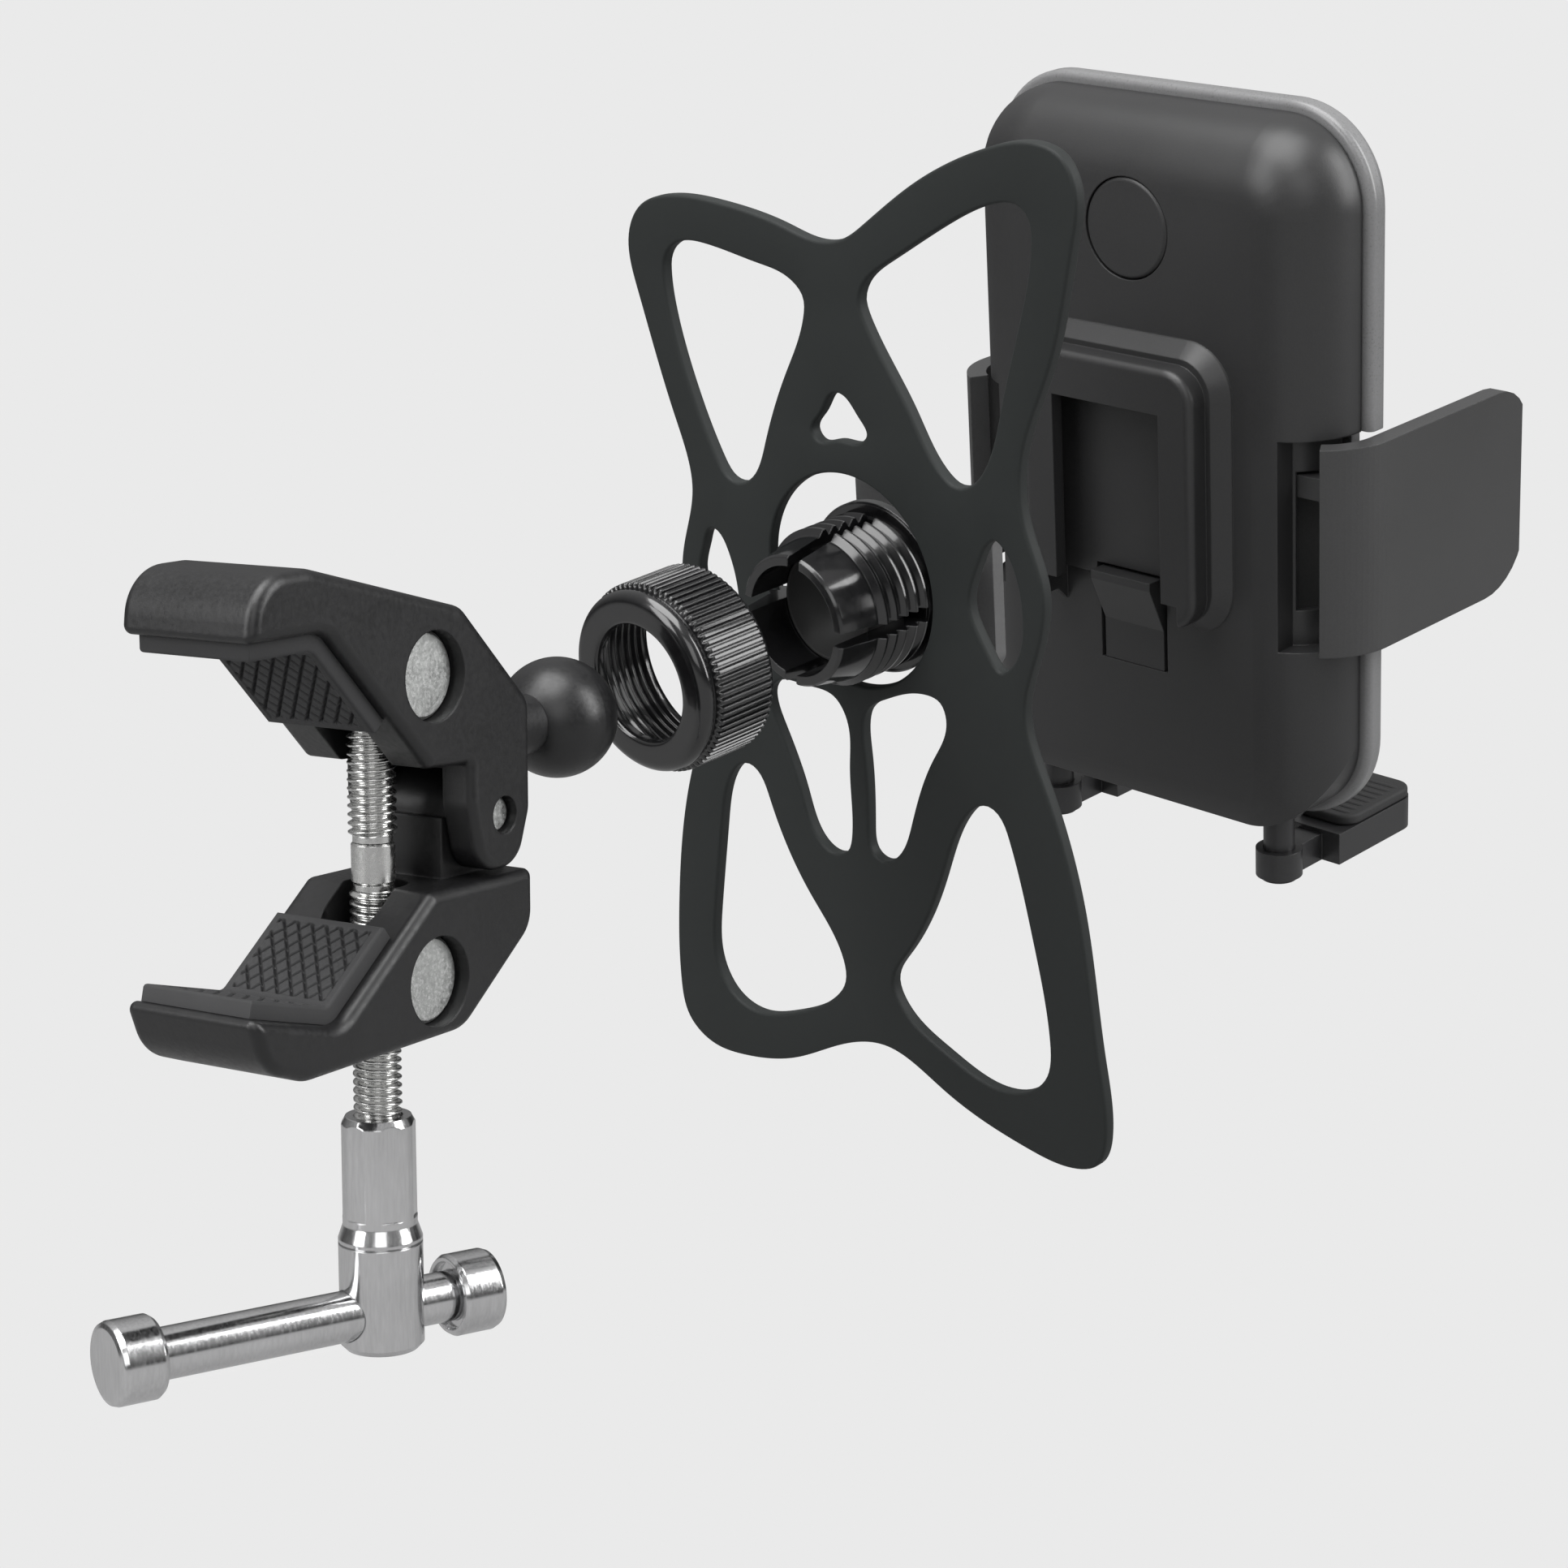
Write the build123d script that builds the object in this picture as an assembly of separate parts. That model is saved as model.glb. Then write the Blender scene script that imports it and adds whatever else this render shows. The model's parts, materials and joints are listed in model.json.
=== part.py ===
from build123d import *

import math
import os

# Phone mount for a handlebar: a two-jaw clamp with a T-handle screw, a ball stud, a ball
# socket with its ring nut, a corner strap and a phone cradle.
#
# Millimetres, +Z up, origin at the centre of the ball.  +X runs along the handlebar and
# +Y from the clamp towards the cradle.  Everything past the ball is drawn on a straight
# Y axis (the joint frame), then turned about the ball centre by the rest roll and tilt.
# The cradle has its own frame: boss face at y = 0, back at low y, front at high y.

os.makedirs("parts", exist_ok=True)

# ------------------------------------------------------------ driving dimensions
# clamp
JAW_HALF = 11.0                 # half width of both jaws along X
JAW_EDGE_R = 1.5
PIN_Y, PIN_Z = -26.0, -9.0      # hinge axis
PIN_R = 2.5
EAR_IN = 6.1                    # inner face of the two ears of the upper jaw
LUG_HALF = 5.8                  # half width of the lower jaw's lug between them
PAD_T, PAD_HALF = 2.3, 9.0      # jaw pad thickness and half width
BARREL_Y = -40.0                # both cross barrels and the screw share this line
BARREL_DZ = 20.0                # barrel centres above and below the hinge axis
UPPER_BARREL_Z = PIN_Z + BARREL_DZ
LOWER_BARREL_Z = PIN_Z - BARREL_DZ
BARREL_R, BARREL_HALF = 5.9, 9.0
BARREL_HOLE_R = BARREL_R + 0.1
# clamp screw and T-handle
SCREW_R = 3.25
SCREW_CORE_R = 2.62
SCREW_NECK_R = 2.0              # under the plain collar
SCREW_PITCH = 1.15
SCREW_TOP = UPPER_BARREL_Z + 0.5
COLLAR_HI, COLLAR_LO = -11.6, -17.0
HEAD_TOP = -48.4
HEAD_MID = -63.1                # foot of the slim sleeve
HEAD_TAPER = -65.0              # top of the full-width part
HEAD_BOT = -80.3
SCREW_BOT = HEAD_TOP - 12.0
BAR_R = 3.45
BAR_Z = -75.2
BAR_TURN = 21.2                 # degrees from the Y direction
BAR_LO, BAR_HI = -39.9, 16.5    # capped ends along the bar, from the screw axis
CAP_R, CAP_LEN, CAP_FLOOR = 5.6, 6.5, 2.0
# ball joint; distances are along the joint axis from the ball centre
BALL_R = 8.5
TILT_DEG = 17.0                 # about the axis (1, 0, -1)
ROLL_DEG = 6.0                  # about the socket axis
SOCKET_REST = 52.0              # how far the socket stands off the ball
NUT_R, NUT_LEN = 14.25, 14.0
NUT_REST = 15.5                 # ring nut face nearest the clamp
RIB_COUNT = 80
PLATE_HALF, PLATE_Y0, PLATE_Y1 = 14.0, 24.3, 27.1   # dock plate, in the socket's frame
STRAP_REST, STRAP_T = 60.4, 2.2     # strap face nearest the clamp, thickness
CRADLE_REST = 119.65            # cradle boss face
# cradle shells
SHELL_HALF, SHELL_TOP, SHELL_BOT = 36.5, 61.0, -55.0
SHELL_EDGE_R = 12.0             # big rounding of the back rim
SHELL_CORNER_R = 14.0           # corner radius seen along Y
SHELL_BACK = 6.5                # outer face of the back wall
WALL = 2.4
SPLIT_Y = 19.0                  # open edge of the rear shell
FRONT_Y = 23.6
FRONT_START = SPLIT_Y + 0.35
FRONT_WALL = 2.2
BEZEL = 1.7                     # front shell overhang beyond the rear shell
BOSS_HALF, BOSS_TOP, BOSS_BOT = 17.4, 22.5, -21.0
SKIRT_Y = SHELL_BACK - 2.6
SHELL_SCREWS = [(-27.0, 50.0), (27.0, 50.0), (-15.0, -43.0), (15.0, -43.0)]     # x, z
SCREW_BOSS_R = 2.9
# dock, latch, button and lever
WINDOW_HALF, WINDOW_TOP, WINDOW_BOT = 11.0, 15.0, -16.6
GROOVE_HALF, GROOVE_BOT = 14.25, -26.0
TONGUE_HALF = 6.2
BUTTON_Z, BUTTON_R = 42.3, 8.2
BUTTON_Y = SHELL_BACK - 0.05    # pressed face
LEVER_Y, LEVER_Z = 12.6, 24.0   # lever pivot
LEVER_HALF = 3.2
# arms, racks and pinion
ARM_OPEN = 5.5                  # how far each arm stands open
ARM_LO, ARM_HI = -23.0, 11.5
ARM_T = 3.3
ARM_END = 57.0
ARM_GAP = 0.35                  # clearance above and below each arm
ARM_IN = SHELL_HALF - ARM_T     # inner face of the arm plate when closed
GEAR_Z, GEAR_R, GEAR_N = -5.75, 6.0, 12     # centre height, pitch radius, teeth
RACK_Y0, RACK_Y1 = 12.1, 15.4
RACK_REACH = 11.05              # outer edge of each rack from the pinion centre
# feet
FOOT_X, FOOT_Y = 24.0, 14.0     # post axis
POST_R = 2.6
POST_BORE_R = POST_R + 0.06
FOOT_LO, FOOT_HI = -65.9, -60.4
FOOT_HALF, FOOT_REACH = 6.0, 31.0


# ------------------------------------------------------------------ shape helpers
def box(x0, x1, y0, y1, z0, z1):
    """Box between limits; either limit of a pair may come first."""
    centre = Location(((x0 + x1) / 2, (y0 + y1) / 2, (z0 + z1) / 2))
    return centre * Box(abs(x1 - x0), abs(y1 - y0), abs(z1 - z0))


def cyl_x(r, x0, x1, y, z):
    return Location(((x0 + x1) / 2, y, z), (0, 90, 0)) * Cylinder(r, x1 - x0)


def cyl_y(r, y0, y1, x=0.0, z=0.0):
    return Location((x, (y0 + y1) / 2, z), (90, 0, 0)) * Cylinder(r, y1 - y0)


def cyl_z(r, z0, z1, x, y):
    return Location((x, y, (z0 + z1) / 2)) * Cylinder(r, z1 - z0)


def prism_x(face, x0, x1):
    return extrude(face.moved(Location((x0, 0, 0))), amount=x1 - x0, dir=(1, 0, 0))


def prism_y(points, y0, y1):
    """Prism from (x, z) points."""
    face = make_face(Polyline(*[(x, y0, z) for x, z in points], close=True))
    return extrude(face, amount=y1 - y0, dir=(0, 1, 0))


def prism_z(points, z0, z1):
    """Prism from (x, y) points."""
    face = make_face(Polyline(*[(x, y, z0) for x, y in points], close=True))
    return extrude(face, amount=z1 - z0, dir=(0, 0, 1))


def yz_face(points):
    return make_face(Polyline(*[(0, y, z) for y, z in points], close=True))


def rounded_yz(corners):
    """Face in YZ from (y, z, corner radius) rows, with tangent arcs at the corners."""
    arcs = []
    count = len(corners)
    for i, (y, z, radius) in enumerate(corners):
        corner = Vector(0, y, z)
        to_last = (Vector(0, *corners[i - 1][:2]) - corner).normalized()
        to_next = (Vector(0, *corners[(i + 1) % count][:2]) - corner).normalized()
        half_angle = math.acos(to_last.dot(to_next)) / 2
        setback = radius / math.tan(half_angle)
        depth = radius / math.sin(half_angle) - radius
        arcs.append((corner + to_last * setback,
                     corner + (to_last + to_next).normalized() * depth,
                     corner + to_next * setback))
    edges = []
    for i, arc in enumerate(arcs):
        edges += [ThreePointArc(*arc), Line(arc[2], arcs[(i + 1) % count][0])]
    return make_face(Wire(edges))


def turned_y(profile):
    """Solid of revolution about Y from (radius, y) points."""
    return revolve(make_face(Polyline(*[(r, y, 0) for r, y in profile], close=True)), Axis.Y, 360)


def turned_on_screw(profile):
    """Solid of revolution about the clamp screw axis from (radius, z) points."""
    face = make_face(Polyline(*[(r, 0, z) for r, z in profile], close=True))
    return revolve(face, Axis.Z, 360).moved(Location((0, BARREL_Y, 0)))


def slot_z(half, y0, y1, z0, z1):
    """Upright slot with round ends, long in Y."""
    slot = box(-half, half, y0 + half, y1 - half, z0, z1)
    return slot + cyl_z(half, z0, z1, 0, y0 + half) + cyl_z(half, z0, z1, 0, y1 - half)


def slab(half, bottom, top, corner_r, y0, y1):
    """Plate from y0 to y1 with four round corners seen along Y."""
    middle = Plane(origin=(0, y0, (top + bottom) / 2), x_dir=(1, 0, 0), z_dir=(0, -1, 0))
    face = middle * RectangleRounded(2 * half, top - bottom, corner_r)
    return extrude(face, amount=y1 - y0, dir=(0, 1, 0))


def edges_at_y(body, y):
    return [e for e in body.edges() if abs(e.center().Y - y) < 0.01]


def write(place, parts):
    """Write each named shape, moved to its place, as one solid or a compound of solids."""
    for name, shape in parts.items():
        solids = [solid.moved(place) for solid in shape.solids()]
        result = solids[0] if len(solids) == 1 else Compound(children=solids)
        export_step(result, os.path.join("parts", name + ".step"))


# --------------------------------------------------------------------------- jaws
# Side outlines of the castings: y, z, corner radius.
UPPER_PROFILE = [
    (-74.4, 18.4, 0.9), (-73.4, 26.6, 6.6), (-63.4, 26.8, 5.0), (-33.8, 19.4, 4.0),
    (-20.0, 5.8, 3.5), (-20.0, -9.0, 4.0), (-22.6, -16.4, 4.6), (-30.6, -16.4, 4.6),
    (-32.9, -7.0, 4.0), (-32.9, -1.4, 0.5), (-41.0, -1.0, 1.0), (-60.4, 18.6, 4.5)]
LOWER_PROFILE = [
    (-76.0, -27.2, 0.9), (-73.2, -34.6, 6.6), (-65.8, -37.2, 6.0), (-34.6, -36.4, 6.0),
    (-19.8, -25.0, 5.0), (-19.8, -17.2, 0.8), (-41.0, -17.2, 1.6), (-59.4, -31.4, 4.5)]
# Pad faces against the castings (y, z): lip end, bend, end towards the hinge.
UPPER_PAD = [(-72.8, 18.40), (-60.4, 18.56), (-48.12, 6.13)]
LOWER_PAD = [(-74.4, -27.59), (-59.4, -31.36), (-47.52, -22.19)]
JAW_SLOT_HALF, PAD_SLOT_HALF = 4.4, 4.6     # half widths of the slots for the screw
BORE_X = 12.0                               # cutters through the whole jaw width


def casting(profile):
    body = prism_x(rounded_yz(profile), -JAW_HALF, JAW_HALF)
    rims = [e for e in body.edges() if abs(abs(e.center().X) - JAW_HALF) < 1e-6]
    return fillet(rims, JAW_EDGE_R)


def make_upper_jaw():
    jaw = casting(UPPER_PROFILE)
    # room for the lug between the ears
    jaw -= cyl_x(7.3, -EAR_IN, EAR_IN, PIN_Y, PIN_Z)
    jaw -= box(-EAR_IN, EAR_IN, -33.6, -19.0, -20.0, PIN_Z)
    jaw -= box(-EAR_IN, EAR_IN, -34.0, PIN_Y, -16.6, -2.3)
    # hinge bore, barrel bore, screw slot and bore of the ball stud
    jaw -= cyl_x(PIN_R + 0.03, -8.6, BORE_X, PIN_Y, PIN_Z)
    jaw -= cyl_x(BARREL_HOLE_R, -BORE_X, BORE_X, BARREL_Y, UPPER_BARREL_Z)
    jaw -= slot_z(JAW_SLOT_HALF, -50.0, -35.2, -6.0, UPPER_BARREL_Z + 1.0)
    return jaw - cyl_y(2.25, -23.1, -19.0)


def make_lower_jaw():
    jaw = casting(LOWER_PROFILE)
    lug = box(-LUG_HALF, LUG_HALF, -33.0, -19.8, -20.0, PIN_Z)
    lug = lug + cyl_x(5.9, -LUG_HALF, LUG_HALF, PIN_Y, PIN_Z)
    jaw += lug - box(-LUG_HALF, LUG_HALF, -20.1, -10.0, -16.0, 0.0)
    jaw -= cyl_x(PIN_R + 0.05, -8.0, 8.0, PIN_Y, PIN_Z)
    jaw -= cyl_x(BARREL_HOLE_R, -BORE_X, BORE_X, BARREL_Y, LOWER_BARREL_Z)
    # the screw slot lies further forward below the barrel than above it
    jaw -= slot_z(JAW_SLOT_HALF, -48.4, -35.4, LOWER_BARREL_Z - 1.0, -12.0)
    return jaw - slot_z(JAW_SLOT_HALF, -45.6, -33.6, -45.0, LOWER_BARREL_Z)


def make_jaw_pad(points, side, jaw):
    """V-shaped lining mitred at the bend; side +1 thickens it upwards, -1 downwards."""
    lip, bend, end = [Vector(0, y, z) for y, z in points]
    lip_offset, end_offset = [
        Vector(1, 0, 0).cross((q - p).normalized()) * (PAD_T * side)
        for p, q in ((lip, bend), (bend, end))]
    mitre = lip_offset + end_offset
    mitre = mitre * (PAD_T ** 2 / mitre.dot(lip_offset))
    outline = [lip, bend, end, end + end_offset, bend + mitre, lip + lip_offset]
    pad = prism_x(yz_face([(p.Y, p.Z) for p in outline]), -PAD_HALF, PAD_HALF)
    pad -= slot_z(PAD_SLOT_HALF, -48.0, -35.2, -60, 30)
    return pad - jaw


def make_hinge_pin():
    return chamfer(cyl_x(PIN_R, -8.5, 9.6, PIN_Y, PIN_Z).edges(), 0.4)


# --------------------------------------------- cross barrels, screw and T-handle
def make_barrel(z):
    body = cyl_x(BARREL_R, -BARREL_HALF, BARREL_HALF, BARREL_Y, z)
    rims = [e for e in body.edges() if abs(abs(e.center().X) - BARREL_HALF) < 0.01]
    return chamfer(rims, 0.5) - cyl_z(SCREW_R + 0.15, z - 12, z + 12, 0, BARREL_Y)


def thread_points(z0, z1):
    """(radius, z) points of a ridged rod from z0 up to z1, near the nominal pitch."""
    count = round((z1 - z0) / SCREW_PITCH)
    pitch = (z1 - z0) / count
    points = []
    for i in range(count):
        z = z0 + i * pitch
        points += [(SCREW_CORE_R, z), (SCREW_CORE_R, z + 0.10 * pitch),
                   (SCREW_R, z + 0.48 * pitch), (SCREW_R, z + 0.60 * pitch)]
    return points + [(SCREW_CORE_R, z1)]


def make_clamp_screw():
    profile = [(0, SCREW_BOT), (SCREW_CORE_R, SCREW_BOT)]
    profile += thread_points(SCREW_BOT + 1.0, COLLAR_LO - 0.6)
    profile += [(SCREW_CORE_R, COLLAR_LO - 0.05), (SCREW_NECK_R, COLLAR_LO - 0.05),
                (SCREW_NECK_R, COLLAR_HI + 0.05), (SCREW_CORE_R, COLLAR_HI + 0.05),
                (SCREW_CORE_R, COLLAR_HI + 0.6)]
    profile += thread_points(COLLAR_HI + 0.7, SCREW_TOP - 1.0)[1:]
    profile += [(SCREW_CORE_R - 0.6, SCREW_TOP), (0, SCREW_TOP)]
    return turned_on_screw(profile)


def make_screw_collar():
    bore_r = SCREW_NECK_R + 0.05
    return turned_on_screw([
        (bore_r, COLLAR_LO), (2.7, COLLAR_LO), (2.9, COLLAR_LO + 0.25),
        (2.9, COLLAR_HI - 0.25), (2.7, COLLAR_HI), (bore_r, COLLAR_HI)])


# Frame of the cross bar: Y along the bar, origin on the screw axis.
BAR_PLACE = Location((0, BARREL_Y, 0)) * Location((0, 0, 0), (0, 0, -BAR_TURN))


def make_handle_head():
    head = turned_on_screw([
        (0, HEAD_BOT), (4.9, HEAD_BOT), (5.65, HEAD_BOT + 0.8), (5.65, HEAD_TAPER),
        (5.0, HEAD_MID), (4.95, HEAD_TOP - 1.0), (4.4, HEAD_TOP), (0, HEAD_TOP)])
    # six shallow flats on the upper sleeve
    for i in range(6):
        flat = box(4.76, 8.0, -6.0, 6.0, HEAD_MID + 1.0, HEAD_TOP + 1.0)
        flat = flat.moved(Location((0, 0, 0), (0, 0, 60 * i + 30)))
        head -= flat.moved(Location((0, BARREL_Y, 0)))
    # ring grooves: lower edge, floor radius
    for z, r in ((HEAD_MID - 0.2, 5.3), (HEAD_MID + 0.6, 5.02), (HEAD_TAPER - 0.7, 5.3)):
        head -= turned_on_screw([(r, z), (7.0, z), (7.0, z + 0.25), (r, z + 0.25)])
    head -= cyl_z(SCREW_R + 0.02, SCREW_BOT - 0.02, HEAD_TOP + 1.0, 0, BARREL_Y)
    return head - cyl_y(BAR_R + 0.06, -9.0, 9.0, 0, BAR_Z).moved(BAR_PLACE)


def make_cross_bar():
    return cyl_y(BAR_R, BAR_LO + CAP_FLOOR, BAR_HI - CAP_FLOOR, 0, BAR_Z).moved(BAR_PLACE)


def make_cap(y_out, inward):
    """End cap bored for the bar, with rounded rims and a shallow recess on its inner face."""
    bore_r = BAR_R + 0.02
    profile = [
        (0, 0), (CAP_R - 0.9, 0), (CAP_R - 0.25, 0.28), (CAP_R, 0.95),
        (CAP_R, CAP_LEN - 0.6), (CAP_R - 0.4, CAP_LEN), (CAP_R - 0.9, CAP_LEN),
        (CAP_R - 1.1, CAP_LEN - 0.8), (bore_r, CAP_LEN - 0.8),
        (bore_r, CAP_FLOOR - 0.02), (0, CAP_FLOOR - 0.02)]
    cap = turned_y([(r, y_out + inward * y) for r, y in profile])
    return cap.moved(BAR_PLACE * Location((0, 0, BAR_Z))).solids()[0]


def make_cross_bar_caps():
    return Compound(children=[make_cap(BAR_LO, +1), make_cap(BAR_HI, -1)])


# --------------------------------------------------------- ball stud and socket
def make_ball_stem():
    stem = turned_y([
        (0, -23.0), (2.2, -23.0), (2.2, -19.95), (6.2, -19.95), (6.4, -19.6), (6.4, -17.6),
        (6.0, -17.0), (4.6, -16.2), (4.2, -15.2), (4.2, -6.0), (0, -6.0)])
    return stem - Sphere(BALL_R + 0.03)


def make_ball_socket():
    """Slotted cup with five outer ridges, a flange and a round neck, about the ball at 0."""
    profile = [(8.62, -5.0), (9.9, -5.0), (10.25, -4.6), (11.3, 1.4)]
    for i in range(5):
        y = 1.8 + i * 2.15
        profile += [(11.3, y), (12.3, y + 0.75), (12.3, y + 1.15), (11.3, y + 1.9)]
    profile += [(11.3, 12.9), (13.2, 12.9), (13.5, 13.2), (13.5, 14.6),
                (12.9, 15.2), (6.2, 16.0), (6.2, 17.0)]
    for degrees in (-60, -35, -10, 15, 40, 62):
        angle = math.radians(degrees)
        profile.append((3.7 + 4.2 * math.cos(angle), 20.4 + 4.2 * math.sin(angle)))
    neck_end = PLATE_Y0 - 0.02
    profile += [(5.4, neck_end), (0, neck_end), (0, 10.6), (8.62, 10.6)]
    socket = turned_y(profile)
    for i in range(4):
        slit = box(4.0, 16.0, -6.0, 12.2, -1.15, 1.15)
        socket -= slit.moved(Location((0, 0, 0), (0, 6 + 90 * i, 0)))
    return socket


def make_dock_plate():
    plate = box(-PLATE_HALF, PLATE_HALF, PLATE_Y0, PLATE_Y1, -PLATE_HALF, PLATE_HALF)
    corners = [e for e in plate.edges() if abs(abs(e.center().X) - PLATE_HALF) < 0.01
               and abs(abs(e.center().Z) - PLATE_HALF) < 0.01]
    plate = fillet(corners, 2.5)
    return chamfer(edges_at_y(plate, PLATE_Y1), 0.5)


def make_socket_liner():
    liner = cyl_y(BALL_R, 2.5, 10.4) - Sphere(BALL_R + 0.05)
    return liner - cyl_y(3.0, 2.0, 12.0)


def make_ring_nut():
    # radius, y: first the outside, then back along the grooved bore
    nut = turned_y([
        (8.8, 0.6), (9.15, 0.0), (11.7, 0.0), (12.9, 0.4), (13.5, 1.2), (13.6, 2.0),
        (13.2, 2.5), (13.6, 2.9), (13.6, NUT_LEN - 0.5), (13.3, NUT_LEN), (12.9, NUT_LEN),
        (12.55, NUT_LEN - 0.4), (12.55, 11.6), (13.05, 11.2), (13.05, 10.6), (12.55, 10.2),
        (12.55, 9.4), (13.05, 9.0), (13.05, 8.4), (12.55, 8.0), (12.55, 7.2), (13.05, 6.8),
        (13.05, 6.2), (12.55, 5.8), (12.55, 4.6), (10.7, 2.4), (8.8, 2.0)])
    rib = box(13.2, NUT_R, 3.0, NUT_LEN - 0.7, -0.3, 0.3)
    nut = nut + [rib.moved(Location((0, 0, 0), (0, 360.0 / RIB_COUNT * i, 0)))
                 for i in range(RIB_COUNT)]
    return nut.moved(Location((0, NUT_REST, 0)))


# ------------------------------------------------------------------ corner strap
# The strap lies flat in XZ, slightly askew, so its halves differ.  Every list is a
# closed smooth loop of (x, z) points.
STRAP_OUTLINE = [
    (-1.8, 54.3), (1.6, 55.3), (5.2, 57.6), (15.8, 65.1), (30.4, 71.9), (38.2, 73.4),
    (43.2, 72.0), (45.7, 67.8), (44.9, 60.0), (40.1, 42.0), (34.4, 27.7), (34.4, 18.3),
    (37.6, 9.0), (36.1, -1.7), (33.4, -11.8), (36.7, -22.1), (42.8, -41.7), (45.8, -64.4),
    (46.9, -76.7), (45.1, -82.2), (40.0, -84.6), (30.8, -84.3), (14.1, -80.0), (2.4, -75.9),
    (-6.3, -77.8), (-19.4, -84.7), (-32.6, -88.2), (-39.8, -87.9), (-44.4, -84.6),
    (-45.8, -78.2), (-44.8, -62.8), (-40.4, -41.5), (-36.2, -25.4), (-38.0, -12.0),
    (-37.4, 0.3), (-34.4, 10.9), (-37.3, 22.1), (-43.5, 40.9), (-44.8, 49.3), (-42.1, 54.3),
    (-36.1, 56.9), (-24.3, 57.3), (-10.9, 55.5), (-6.1, 54.4)]
STRAP_OPENINGS = [
    # upper left
    [(-37.2, 44.8), (-37.1, 46.0), (-36.5, 47.6), (-34.0, 49.8), (-28.0, 50.5), (-16.5, 49.0),
     (-9.2, 47.0), (-7.6, 45.2), (-7.7, 42.3), (-12.0, 33.1), (-17.4, 21.2), (-20.6, 15.1),
     (-23.3, 13.6), (-25.8, 13.9), (-28.3, 16.8), (-33.2, 27.4), (-36.6, 38.7), (-37.2, 43.5)],
    # upper right
    [(4.0, 46.1), (4.2, 47.2), (4.7, 48.3), (9.9, 52.7), (21.6, 59.8), (31.5, 64.1),
     (35.1, 64.2), (36.9, 62.8), (37.4, 59.9), (35.2, 49.0), (30.9, 34.9), (27.3, 25.0),
     (24.3, 21.9), (21.4, 21.3), (19.0, 22.6), (13.0, 31.2), (5.2, 42.9), (4.3, 44.8)],
    # small triangle above the hole
    [(-1.5, 31.5), (-0.7, 31.4), (2.7, 28.3), (4.1, 26.0), (2.9, 24.7), (-2.1, 24.1),
     (-6.2, 23.6), (-7.0, 24.6), (-5.1, 27.8), (-2.3, 31.3)],
    # left eye
    [(-30.2, 4.8), (-29.7, 4.7), (-27.1, 1.4), (-25.7, -3.9), (-26.7, -8.9), (-28.1, -9.6),
     (-31.5, -7.3), (-33.8, -3.4), (-32.4, 2.0), (-30.7, 4.7)],
    # right eye
    [(28.8, 14.4), (29.5, 14.1), (32.7, 9.0), (33.5, 3.1), (30.7, -4.9), (29.2, -5.8),
     (26.4, -3.1), (23.3, 3.6), (25.5, 10.4), (28.2, 14.2)],
    # middle left
    [(-19.8, -20.5), (-19.5, -19.6), (-17.8, -17.9), (-12.0, -17.3), (-5.4, -18.0),
     (-3.4, -20.7), (-3.2, -28.6), (-3.5, -40.3), (-4.7, -43.5), (-7.8, -44.6),
     (-10.6, -43.3), (-14.0, -36.0), (-18.2, -26.0), (-19.8, -21.7)],
    # middle right
    [(0.9, -19.0), (1.5, -18.1), (5.0, -15.8), (13.9, -13.0), (16.6, -13.7), (17.5, -15.6),
     (14.7, -23.0), (9.6, -34.8), (6.0, -41.7), (2.9, -43.1), (1.1, -42.4), (0.3, -38.2),
     (0.4, -26.2), (0.5, -20.1)],
    # lower left
    [(-26.6, -34.1), (-25.5, -34.0), (-24.3, -34.4), (-21.4, -39.1), (-13.3, -53.7),
     (-7.3, -62.2), (-6.7, -66.4), (-9.7, -70.8), (-19.6, -76.5), (-28.4, -78.7),
     (-33.4, -76.9), (-36.3, -72.3), (-36.1, -63.1), (-33.0, -46.6), (-29.7, -36.6),
     (-27.9, -34.7)],
    # lower right
    [(24.4, -28.3), (25.6, -28.2), (27.1, -28.8), (29.4, -32.7), (33.4, -48.0),
     (36.1, -63.7), (35.4, -70.1), (31.4, -74.2), (24.3, -75.7), (14.2, -72.8), (5.2, -67.3),
     (3.9, -64.4), (6.9, -58.3), (15.3, -42.8), (21.1, -30.7), (23.0, -28.9)]]
STRAP_HOLE_X, STRAP_HOLE_Z, STRAP_HOLE_R = -0.9, 2.2, 16.8      # round the socket


def smooth_face(points):
    return make_face(Spline(*[(x, 0, z) for x, z in points], periodic=True))


def make_corner_strap():
    face = smooth_face(STRAP_OUTLINE)
    for loop in STRAP_OPENINGS:
        face -= smooth_face(loop)
    hole_plane = Plane(origin=(STRAP_HOLE_X, 0, STRAP_HOLE_Z), x_dir=(1, 0, 0), z_dir=(0, -1, 0))
    face -= hole_plane * Circle(STRAP_HOLE_R)
    return extrude(face, amount=STRAP_T, dir=(0, 1, 0)).moved(Location((0, STRAP_REST, 0)))


# ----------------------------------------------------------------- cradle shells
def outline_slab(grow, y0, y1):
    """Slab of the cradle outline, grown outwards all round."""
    return slab(SHELL_HALF + grow, SHELL_BOT - grow, SHELL_TOP + grow,
                SHELL_CORNER_R + grow, y0, y1)


def shell_block(inset, y_end):
    """Rear shell block inset from the outer surface: round back rim, straight at the bottom."""
    back = SHELL_BACK + inset
    overrun = 8.0       # keeps the rim rounding clear of the bottom edge
    block = slab(SHELL_HALF - inset, SHELL_BOT + inset - overrun, SHELL_TOP - inset,
                 SHELL_CORNER_R - inset, back, y_end)
    block = fillet(edges_at_y(block, back), SHELL_EDGE_R - inset)
    return block & outline_slab(-inset, back - 1, y_end + 1)


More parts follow.
